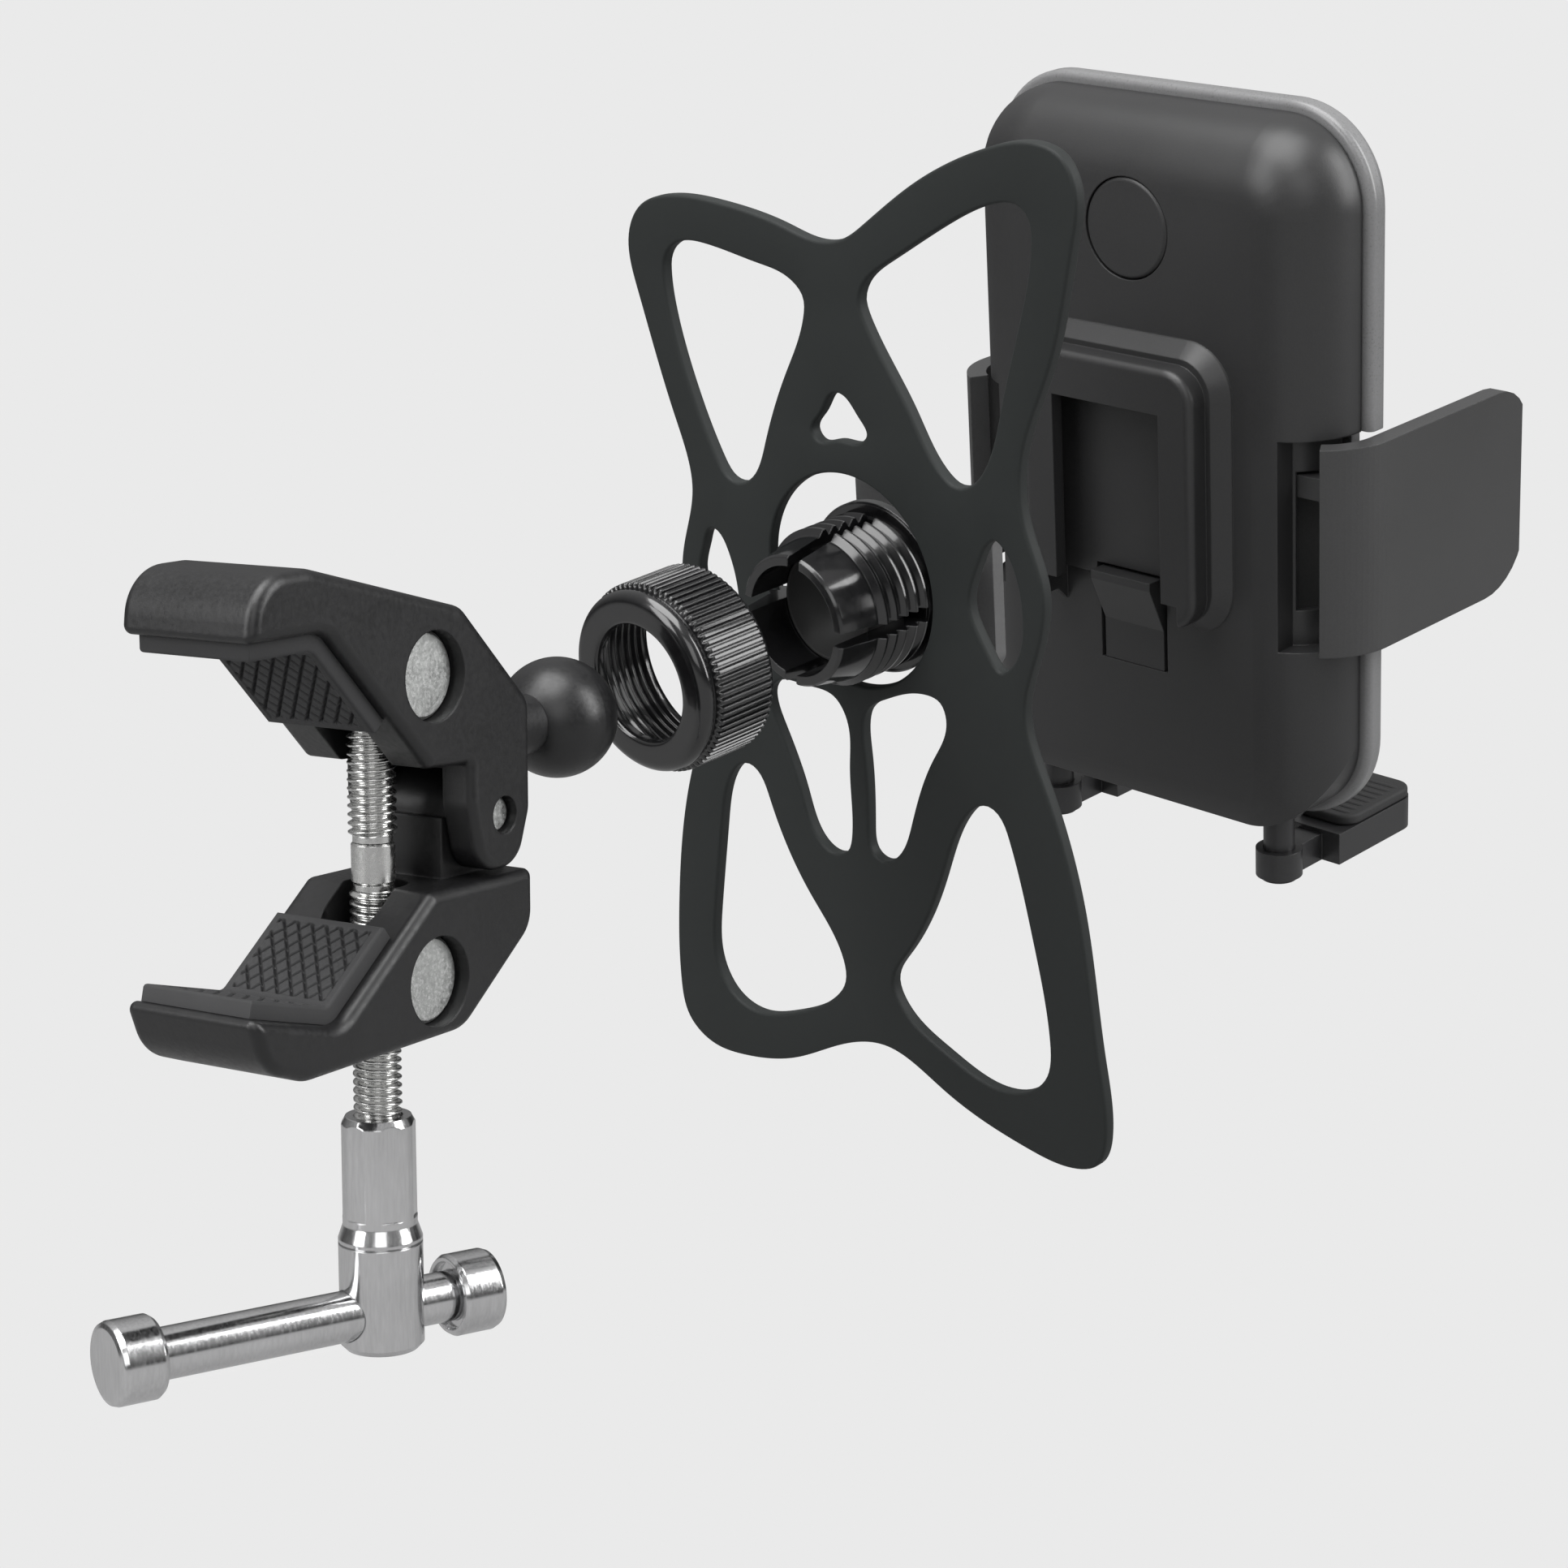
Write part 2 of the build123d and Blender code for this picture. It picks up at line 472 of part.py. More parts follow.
def make_rear_shell():
    rear = shell_block(0.0, SPLIT_Y)
    # raised boss for the dock, faired into the wall
    boss = slab(BOSS_HALF, BOSS_BOT, BOSS_TOP, 5.5, 0.0, SHELL_BACK + 1.0)
    boss = fillet(edges_at_y(boss, 0.0), 1.3)
    skirt = slab(BOSS_HALF + 3.4, BOSS_BOT - 2.0, BOSS_TOP + 3.4, 8.5, SKIRT_Y, SKIRT_Y + 3.4)
    skirt = chamfer(edges_at_y(skirt, SKIRT_Y), 2.4)
    rear = rear + boss + skirt
    rear -= shell_block(WALL, SPLIT_Y + 1.0)
    # dock: window between the lips, grooves behind them, open at the bottom
    rear -= box(-WINDOW_HALF, WINDOW_HALF, -1.0, 5.7, WINDOW_BOT, WINDOW_TOP)
    rear -= box(-GROOVE_HALF, GROOVE_HALF, 2.4, 5.7, GROOVE_BOT, WINDOW_TOP)
    rear -= box(-GROOVE_HALF, GROOVE_HALF, -1.0, 6.5, GROOVE_BOT, WINDOW_BOT)
    # opening for the latch tongue, then the button bore
    rear -= box(-TONGUE_HALF - 0.8, TONGUE_HALF + 0.8, 5.0, 9.6, -31.6, -14.6)
    rear -= cyl_y(BUTTON_R + 0.15, 0, 12.0, 0, BUTTON_Z)
    # pockets in both sides for the arms, each with its own floor and side walls
    for side in (-1, 1):
        lining = shell_block(WALL - 0.4, SPLIT_Y) - shell_block(ARM_T + 1.7, SPLIT_Y + 1.0)
        rear += lining & box(side * 28.5, side * 40.0, 7.0, SPLIT_Y, ARM_LO - 1.9, ARM_HI + 1.9)
        pocket = box(side * 20.0, side * 40.0, 0, 30, ARM_LO - ARM_GAP, ARM_HI + ARM_GAP)
        pocket -= shell_block(ARM_T + 0.3, SPLIT_Y + 1.0)
        pocket -= box(-28.9, 28.9, -5, 40, -60, 60)
        rear -= pocket
    # passage for the racks
    rear -= box(-45, 45, RACK_Y0 - 0.4, RACK_Y1 + 0.4,
                GEAR_Z - RACK_REACH - 0.6, GEAR_Z + RACK_REACH + 0.6)
    # tubes for the foot posts
    for side in (-1, 1):
        rear += cyl_z(4.2, SHELL_BOT + 0.5, -27.0, side * FOOT_X, FOOT_Y)
        rear -= cyl_z(POST_BORE_R, SHELL_BOT - 2.0, -29.0, side * FOOT_X, FOOT_Y)
    # screw bosses
    for x, z in SHELL_SCREWS:
        rear += cyl_y(SCREW_BOSS_R, SHELL_BACK + 2.1, 18.6, x, z)
        rear -= cyl_y(1.12, 11.0, 20.0, x, z)
    # lever bearing blocks
    for side in (-1, 1):
        rear += box(side * 4.2, side * 7.4, SHELL_BACK + 1.5, 15.2, LEVER_Z - 2.6, LEVER_Z + 2.6)
    return rear - cyl_x(1.02, -6.6, 6.6, LEVER_Y, LEVER_Z)


def make_front_shell():
    front = outline_slab(BEZEL, FRONT_START, FRONT_Y)
    front = fillet(edges_at_y(front, FRONT_Y), 1.6)
    front = fillet(edges_at_y(front, FRONT_START), 1.1)
    # inside of the rim, then the shallow seat of the front pad
    front -= outline_slab(-FRONT_WALL, SPLIT_Y - 1.0, FRONT_Y - FRONT_WALL)
    front -= outline_slab(-6.0, FRONT_Y - 0.8, FRONT_Y + 1.2)
    for side in (-1, 1):
        front -= box(side * (ARM_IN - 0.3), side * 45.0, 10.0, 30.0,
                     ARM_LO - ARM_GAP, ARM_HI + ARM_GAP)
    for x, z in SHELL_SCREWS:
        front += cyl_y(SCREW_BOSS_R, 18.75, FRONT_Y - 1.5, x, z)
        front -= cyl_y(1.35, 15.0, 30.0, x, z)
        front -= cyl_y(2.35, FRONT_Y - 2.1, 30.0, x, z)
    return front


def make_front_pad():
    top = FRONT_Y + 1.22
    return fillet(edges_at_y(outline_slab(-6.2, top - 2.0, top), top), 0.7)


def make_shell_screw(x, z):
    """Screw with a cross recess in its head."""
    screw = cyl_y(2.2, FRONT_Y - 2.05, FRONT_Y - 0.85, x, z)
    screw += cyl_y(1.05, 12.5, FRONT_Y - 2.0, x, z)
    for half_x, half_z in ((1.2, 0.25), (0.25, 1.2)):
        screw -= box(x - half_x, x + half_x, FRONT_Y - 1.45, FRONT_Y, z - half_z, z + half_z)
    return screw.solids()[0]


# ------------------------------------------------- button, lever, latch, pinion
def make_release_button():
    button = cyl_y(BUTTON_R, BUTTON_Y, 8.6, 0, BUTTON_Z)
    button = fillet(edges_at_y(button, BUTTON_Y), 0.7)
    # flange, neck and centre stub: radius, y0, y1
    for r, y0, y1 in ((8.8, 9.3, 10.0), (7.0, 8.4, 9.4), (2.0, 9.9, 11.5)):
        button = button + cyl_y(r, y0, y1, 0, BUTTON_Z)
    return button


def make_button_spring():
    path = Helix(pitch=1.3, height=5.1, radius=3.6)
    spring = sweep(Plane(origin=path @ 0, z_dir=path % 0) * Circle(0.32), path=path)
    return spring.moved(Location((0, 21.0, BUTTON_Z), (90, 0, 0)))


def make_lock_lever():
    lever = box(-LEVER_HALF, LEVER_HALF, 11.75, 13.4, 7.6, 44.4)
    lever = lever + box(-LEVER_HALF, LEVER_HALF, 11.75, 14.6, LEVER_Z - 1.9, LEVER_Z + 1.9)
    lever = lever + box(-1.4, 1.4, 10.9, 12.0, 6.3, 9.4)
    return lever - cyl_x(1.08, -5, 5, LEVER_Y, LEVER_Z)


def make_latch_tongue():
    """Tongue with a ramped hook, from (y, z) points."""
    profile = [(6.55, -31.5), (8.7, -31.5), (8.7, -15.2), (3.1, -15.2), (3.1, -16.6),
               (6.55, -24.5)]
    return prism_x(yz_face(profile), -TONGUE_HALF, TONGUE_HALF)


def make_pinion():
    root_r, tip_r = GEAR_R - 1.25, GEAR_R + 0.85
    step = 2 * math.pi / GEAR_N
    points = []
    for i in range(GEAR_N):
        for share, r in ((-0.30, root_r), (-0.14, tip_r), (0.14, tip_r), (0.30, root_r)):
            angle = (i + share) * step
            points.append((r * math.cos(angle), GEAR_Z + r * math.sin(angle)))
    return prism_y(points, RACK_Y0, RACK_Y1) - cyl_y(1.56, 10, 20, 0, GEAR_Z)


def make_pinion_spring():
    """Flat spiral strip round the pinion post."""
    turns, steps, r_start, r_end, thickness = 2.6, 64, 2.3, 7.4, 0.45

    def winding(offset):
        points = []
        for i in range(steps + 1):
            angle = 2 * math.pi * turns * i / steps
            r = r_start + offset + (r_end - r_start) * i / steps
            points.append((r * math.cos(angle), GEAR_Z + r * math.sin(angle)))
        return points

    return prism_y(winding(0.0) + winding(thickness)[::-1], 16.4, 19.6)


# --------------------------------------------------------------------------- arms
def arm_side_mask():
    """Side view of an arm with its free corners rounded, as a block to intersect with."""
    points = [(0.0, ARM_LO), (ARM_END - 11.0, ARM_LO)]
    for i in range(1, 9):
        angle = math.radians(11.25 * i)
        points.append((ARM_END - 11.0 + 11.2 * math.sin(angle),
                       ARM_LO + 11.0 - 11.0 * math.cos(angle)))
    for i in range(7):
        angle = math.radians(15 * i)
        points.append((ARM_END + 0.2 - 8.0 + 8.0 * math.cos(angle),
                       ARM_HI - 8.0 + 8.0 * math.sin(angle)))
    return prism_x(yz_face(points + [(0.0, ARM_HI)]), 0, 60)


def on_side(shape, side):
    """Arms are drawn on the right (+X); side -1 mirrors them to the left."""
    return mirror(shape, Plane.YZ) if side < 0 else shape


def make_arm(side):
    """Plate wrapped round the housing edge, with its rack; the rack is above the pinion
    on the right arm and below it on the left arm."""
    def wrap(r):
        angles = [math.radians(302 + 58 * i / 12.0) for i in range(13)]
        return [(SHELL_HALF - SHELL_EDGE_R + r * math.cos(a),
                 SHELL_BACK + SHELL_EDGE_R + r * math.sin(a)) for a in angles]

    tip = [(SHELL_HALF, ARM_END - 1.2), (SHELL_HALF - 0.8, ARM_END),
           (ARM_IN + 0.9, ARM_END + 0.1), (ARM_IN, ARM_END - 0.9)]
    section = wrap(SHELL_EDGE_R) + tip + wrap(SHELL_EDGE_R - ARM_T)[::-1]
    plate = prism_z(section, ARM_LO, ARM_HI) & arm_side_mask()

    root = GEAR_Z + side * (GEAR_R + 1.35)
    outer = GEAR_Z + side * RACK_REACH
    arm = plate.moved(Location((ARM_OPEN, 0, 0)))
    arm = arm + box(25.0 + ARM_OPEN, 33.6 + ARM_OPEN, RACK_Y0, RACK_Y1, root, outer)
    arm = arm + box(-16.0, SHELL_HALF - 3.0, RACK_Y0, RACK_Y1, root, outer)

    pitch = 2 * math.pi * GEAR_R / GEAR_N
    tooth_root = root + side * 0.1
    tooth_tip = GEAR_Z + side * (GEAR_R - 0.95)
    for i in range(-5, 6):
        x = (i + 0.5) * pitch       # a rack gap sits over the pinion's centre line
        tooth = [(x - 0.28 * pitch, tooth_root), (x - 0.13 * pitch, tooth_tip),
                 (x + 0.13 * pitch, tooth_tip), (x + 0.28 * pitch, tooth_root)]
        arm = arm + prism_y(tooth[::side], RACK_Y0, RACK_Y1)
    return on_side(arm, side)


def make_arm_pad(side):
    face_x = ARM_IN - 0.02
    section = [(ARM_IN - 2.5, 26.5), (face_x, 25.5), (face_x, ARM_END - 1.5),
               (ARM_IN - 3.6, ARM_END - 3.2), (ARM_IN - 2.5, ARM_END - 7.0)]
    pad = prism_z(section, ARM_LO + 2.0, ARM_HI - 1.2) & arm_side_mask()
    return on_side(pad.moved(Location((ARM_OPEN, 0, 0))), side)


# --------------------------------------------------------------------------- feet
def foot_block(x, y0, y1, z0, z1, corner_r):
    """Block centred on x with its two upright front corners rounded."""
    block = box(x - FOOT_HALF, x + FOOT_HALF, y0, y1, z0, z1)
    corners = [e for e in edges_at_y(block, y1)
               if abs(abs(e.center().X - x) - FOOT_HALF) < 0.01]
    return fillet(corners, corner_r)


def make_foot_post(x):
    return cyl_z(POST_R, -66.0, -33.0, x, FOOT_Y) + cyl_z(3.0, -66.6, -66.0, x, FOOT_Y)


def make_foot(x):
    link_top = -61.1
    ring = cyl_z(3.9, FOOT_LO, link_top, x, FOOT_Y)
    link = box(x - 2.4, x + 2.4, FOOT_Y + 1.0, FOOT_Y + 9.4, FOOT_LO, link_top)
    block = foot_block(x, FOOT_Y + 8.6, FOOT_Y + FOOT_REACH, FOOT_LO, FOOT_HI, 4.0)
    return ring + link + block - cyl_z(POST_BORE_R, -70, -50, x, FOOT_Y)


def make_foot_cover(x):
    return foot_block(x, FOOT_Y + 11.4, FOOT_Y + FOOT_REACH - 0.6,
                      FOOT_HI + 0.02, FOOT_HI + 2.0, 3.4)


# ----------------------------------------------------------------- place and write
def joint_direction(x, y, z):
    """Direction of the joint frame as it stands: rolled first, then tilted."""
    rolled = Vector(x, y, z).rotate(Axis.Y, ROLL_DEG)
    return rolled.rotate(Axis((0, 0, 0), (1, 0, -1)), TILT_DEG)


JOINT = Plane(origin=(0, 0, 0), x_dir=joint_direction(1, 0, 0),
              z_dir=joint_direction(0, 0, 1)).location

upper_jaw = make_upper_jaw()
lower_jaw = make_lower_jaw()
write(Location(), {
    "upper_jaw": upper_jaw,
    "lower_jaw": lower_jaw,
    "upper_jaw_pad": make_jaw_pad(UPPER_PAD, -1, upper_jaw),
    "lower_jaw_pad": make_jaw_pad(LOWER_PAD, +1, lower_jaw),
    "hinge_pin": make_hinge_pin(),
    "upper_cross_barrel": make_barrel(UPPER_BARREL_Z),
    "lower_cross_barrel": make_barrel(LOWER_BARREL_Z),
    "clamp_screw": make_clamp_screw(),
    "screw_collar": make_screw_collar(),
    "handle_head": make_handle_head(),
    "cross_bar": make_cross_bar(),
    "cross_bar_caps": make_cross_bar_caps(),
    "ball_stem": make_ball_stem(),
    "ball": Sphere(BALL_R),
})
write(JOINT, {"ring_nut": make_ring_nut(), "corner_strap": make_corner_strap()})
write(JOINT * Location((0, SOCKET_REST, 0)), {
    "socket_liner": make_socket_liner(),
    "ball_socket": make_ball_socket(),
    "dock_plate": make_dock_plate(),
})

cradle = {
    "rear_shell": make_rear_shell(),
    "front_shell": make_front_shell(),
    "front_pad": make_front_pad(),
    "shell_screws": Compound(children=[make_shell_screw(x, z) for x, z in SHELL_SCREWS]),
    "release_button": make_release_button(),
    "button_spring": make_button_spring(),
    "lock_lever": make_lock_lever(),
    "lever_pin": cyl_x(1.0, -6.5, 6.5, LEVER_Y, LEVER_Z),
    "latch_tongue": make_latch_tongue(),
    "pinion": make_pinion(),
    "pinion_post": cyl_y(1.5, 8.95, 21.3, 0, GEAR_Z),
    "pinion_spring": make_pinion_spring(),
}
for name, side in (("right", +1), ("left", -1)):
    cradle[name + "_arm"] = make_arm(side)
    cradle[name + "_arm_pad"] = make_arm_pad(side)
    cradle[name + "_foot_post"] = make_foot_post(side * FOOT_X)
    cradle[name + "_foot"] = make_foot(side * FOOT_X)
    cradle[name + "_foot_cover"] = make_foot_cover(side * FOOT_X)
write(JOINT * Location((0, CRADLE_REST, 0)), cradle)
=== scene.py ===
"""Screw clamp with a ball joint that carries a cradle with two arms, two feet and a corner strap.

Row frame: the ball at the origin, +Z up, the clamp jaws towards -Y and the cradle towards +Y.
The ring nut, strap and cradle lie in the socket frame, which is tilted and rolled at the ball.
The cradle's own frame is the socket frame moved along its +Y. Shapes are in mm, the scene in m.
"""

import json
import math

import bmesh
import bpy
import numpy as np
from mathutils import Matrix, Vector


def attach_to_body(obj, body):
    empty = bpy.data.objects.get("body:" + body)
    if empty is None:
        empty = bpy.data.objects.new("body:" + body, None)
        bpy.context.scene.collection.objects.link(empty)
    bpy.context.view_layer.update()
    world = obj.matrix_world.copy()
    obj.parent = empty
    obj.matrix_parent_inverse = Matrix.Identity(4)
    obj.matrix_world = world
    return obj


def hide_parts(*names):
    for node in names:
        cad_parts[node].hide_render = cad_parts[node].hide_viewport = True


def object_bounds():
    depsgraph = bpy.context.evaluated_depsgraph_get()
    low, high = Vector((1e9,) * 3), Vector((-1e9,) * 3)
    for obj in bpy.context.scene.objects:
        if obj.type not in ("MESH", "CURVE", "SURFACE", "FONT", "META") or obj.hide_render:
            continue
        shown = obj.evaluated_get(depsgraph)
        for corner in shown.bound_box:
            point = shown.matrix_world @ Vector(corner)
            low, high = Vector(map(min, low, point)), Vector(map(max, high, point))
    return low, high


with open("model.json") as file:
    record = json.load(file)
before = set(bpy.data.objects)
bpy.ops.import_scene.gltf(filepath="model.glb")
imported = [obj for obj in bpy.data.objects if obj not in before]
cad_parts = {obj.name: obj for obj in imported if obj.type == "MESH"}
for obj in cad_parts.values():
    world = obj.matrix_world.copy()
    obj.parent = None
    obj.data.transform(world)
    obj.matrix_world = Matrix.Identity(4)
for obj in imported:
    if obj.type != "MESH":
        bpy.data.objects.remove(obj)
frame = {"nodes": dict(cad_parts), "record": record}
CAD_LO, CAD_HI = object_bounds()
MM = 0.001

# ------------------------------------------------------------------------------- frames
TILT, ROLL = math.radians(17.0), math.radians(6.0)
DIAGONAL = 1 / math.sqrt(2.0)
CRADLE_REST = 119.65            # cradle origin along the socket frame's y
SOCKET_TURN = np.array(
    Matrix.Rotation(TILT, 3, Vector((DIAGONAL, 0, -DIAGONAL)))
    @ Matrix.Rotation(ROLL, 3, Vector((0, 1, 0))))


def socket_to_world(points):
    """Points in the socket frame, mm, to the row frame, m."""
    return (np.asarray(points, float) @ SOCKET_TURN.T) * MM


def cradle_to_world(points):
    """Points in the cradle's own frame, mm, to the row frame, m."""
    return socket_to_world(np.asarray(points, float) + np.array([0.0, CRADLE_REST, 0.0]))


# ------------------------------------------------------------------------- shader helpers
def new_material(name):
    """Material with a Principled shader; returns it with its tree, shader and output node."""
    material = bpy.data.materials.new(name)
    material.use_nodes = True
    tree = material.node_tree
    tree.nodes.clear()
    output = tree.nodes.new("ShaderNodeOutputMaterial")
    shader = tree.nodes.new("ShaderNodeBsdfPrincipled")
    tree.links.new(shader.outputs[0], output.inputs[0])
    return material, tree, shader, output


def feed(tree, socket, value):
    """Link a socket, or set it to a number or an RGB colour."""
    if isinstance(value, bpy.types.NodeSocket):
        tree.links.new(value, socket)
    elif isinstance(value, tuple):
        socket.default_value = (*value, 1.0)
    else:
        socket.default_value = value


def noise(tree, coords, scale, detail, roughness):
    node = tree.nodes.new("ShaderNodeTexNoise")
    node.inputs["Scale"].default_value = scale
    node.inputs["Detail"].default_value = detail
    node.inputs["Roughness"].default_value = roughness
    tree.links.new(coords, node.inputs["Vector"])
    return node.outputs["Fac"]


def voronoi(tree, coords, scale):
    node = tree.nodes.new("ShaderNodeTexVoronoi")
    node.inputs["Scale"].default_value = scale
    tree.links.new(coords, node.inputs["Vector"])
    return node.outputs["Distance"]


def remap(tree, value, source, target):
    """Map the source range onto the target range, clamped."""
    node = tree.nodes.new("ShaderNodeMapRange")
    for i, limit in enumerate((*source, *target), start=1):
        node.inputs[i].default_value = limit
    tree.links.new(value, node.inputs[0])
    return node.outputs[0]


def math_node(tree, operation, a, b):
    node = tree.nodes.new("ShaderNodeMath")
    node.operation = operation
    feed(tree, node.inputs[0], a)
    feed(tree, node.inputs[1], b)
    return node.outputs[0]


def mix_colour(tree, factor, a, b):
    node = tree.nodes.new("ShaderNodeMix")
    node.data_type = "RGBA"
    tree.links.new(factor, node.inputs[0])
    feed(tree, node.inputs[6], a)       # sockets 6 and 7 are the colour pair
    feed(tree, node.inputs[7], b)
    return node.outputs[2]


def stretched(tree, coords, scale):
    node = tree.nodes.new("ShaderNodeMapping")
    node.inputs["Scale"].default_value = scale
    tree.links.new(coords, node.inputs["Vector"])
    return node.outputs[0]


def edge_mask(tree, soft_normal):
    """1 near sharp edges, 0 on open faces."""
    geometry = tree.nodes.new("ShaderNodeNewGeometry")
    dot = tree.nodes.new("ShaderNodeVectorMath")
    dot.operation = "DOT_PRODUCT"
    tree.links.new(soft_normal, dot.inputs[0])
    tree.links.new(geometry.outputs["Normal"], dot.inputs[1])
    bend = math_node(tree, "SUBTRACT", 1.0, dot.outputs["Value"])
    return remap(tree, bend, source=(0.02, 0.25), target=(0.0, 1.0))


def surface(name, colour,
            vary=0.25,              # share by which the clouds darken and lighten the colour
            cloud=60.0,             # scale of the clouds
            grain=2200.0,           # scale of the fine grain
            stretch=None,           # scale of the grain along x, y, z
            rough=0.5, rough_vary=0.08,
            bump=0.12, bump_dist=0.00012,
            pits=0.0,               # height of the cell pattern added to the grain
            edge_highlight=None, edge_highlight_amount=0.35,    # colour and strength of the painted highlight along the edges
            bevel=0.00025,          # radius of the softened edges, m
            speck=None,             # scale, level, colour and amount of the specks
            metallic=0.0, spec=0.5, coat=0.0, coat_rough=0.1, sheen=0.0):
    """Clouded, grained surface with softened edges and an optional painted highlight along them.
    """
    material, tree, shader, _ = new_material(name)
    coords = tree.nodes.new("ShaderNodeTexCoord").outputs["Object"]
    grain_coords = coords if stretch is None else stretched(tree, coords, stretch)
    clouds = noise(tree, coords, scale=cloud, detail=5.0, roughness=0.6)
    fine = noise(tree, grain_coords, scale=grain, detail=3.0, roughness=0.6)

    dark = tuple(c * (1 - vary) for c in colour)
    light = tuple(min(1.0, c * (1 + vary)) for c in colour)
    grain_light = tuple(min(1.0, c * 1.5 + 0.002) for c in colour)
    cloud_amount = remap(tree, clouds, source=(0.3, 0.7), target=(0.0, 1.0))
    tint = mix_colour(tree, cloud_amount, dark, light)
    grain_amount = remap(tree, fine, source=(0.35, 0.75), target=(0.0, 0.35))
    tint = mix_colour(tree, grain_amount, tint, grain_light)
    if speck is not None:
        dots = noise(tree, coords, scale=speck["scale"], detail=2.0, roughness=0.7)
        level = speck["level"]
        amount = remap(tree, dots, source=(level, level + 0.08), target=(0.0, speck["amount"]))
        tint = mix_colour(tree, amount, tint, speck["colour"])

    rounding = tree.nodes.new("ShaderNodeBevel")
    rounding.samples = 4
    rounding.inputs["Radius"].default_value = bevel
    soft_normal = rounding.outputs[0]
    if edge_highlight is not None:
        # painted highlight: a colour lighter than the body, mixed in along the edges and broken
        # up by noise
        mask = edge_mask(tree, soft_normal)
        painted_edge_glint = noise(tree, coords, scale=900.0, detail=4.0, roughness=0.7)
        painted_edge_glint = remap(tree, painted_edge_glint, source=(0.35, 0.65), target=(0.0, edge_highlight_amount))
        tint = mix_colour(tree, math_node(tree, "MULTIPLY", mask, painted_edge_glint), tint, edge_highlight)
    tree.links.new(tint, shader.inputs["Base Color"])

    grain_rough = remap(tree, fine, source=(0.3, 0.7),
                        target=(rough - rough_vary, rough + rough_vary))
    cloud_rough = remap(tree, clouds, source=(0.3, 0.7),
                        target=(-rough_vary * 0.6, rough_vary * 0.6))
    roughness = math_node(tree, "ADD", grain_rough, cloud_rough)
    tree.links.new(roughness, shader.inputs["Roughness"])

    height = fine
    if pits > 0:
        cells = voronoi(tree, grain_coords if stretch is None else coords, scale=grain * 0.5)
        height = math_node(tree, "ADD", fine, math_node(tree, "MULTIPLY", cells, pits))
    relief = tree.nodes.new("ShaderNodeBump")
    relief.inputs["Strength"].default_value = bump
    relief.inputs["Distance"].default_value = bump_dist
    tree.links.new(height, relief.inputs["Height"])
    tree.links.new(soft_normal, relief.inputs["Normal"])
    tree.links.new(relief.outputs[0], shader.inputs["Normal"])

    shader.inputs["Metallic"].default_value = metallic
    shader.inputs["Specular IOR Level"].default_value = spec
    if coat > 0:
        shader.inputs["Coat Weight"].default_value = coat
        shader.inputs["Coat Roughness"].default_value = coat_rough
    if sheen > 0:
        shader.inputs["Sheen Weight"].default_value = sheen
        shader.inputs["Sheen Roughness"].default_value = 0.5
    return material
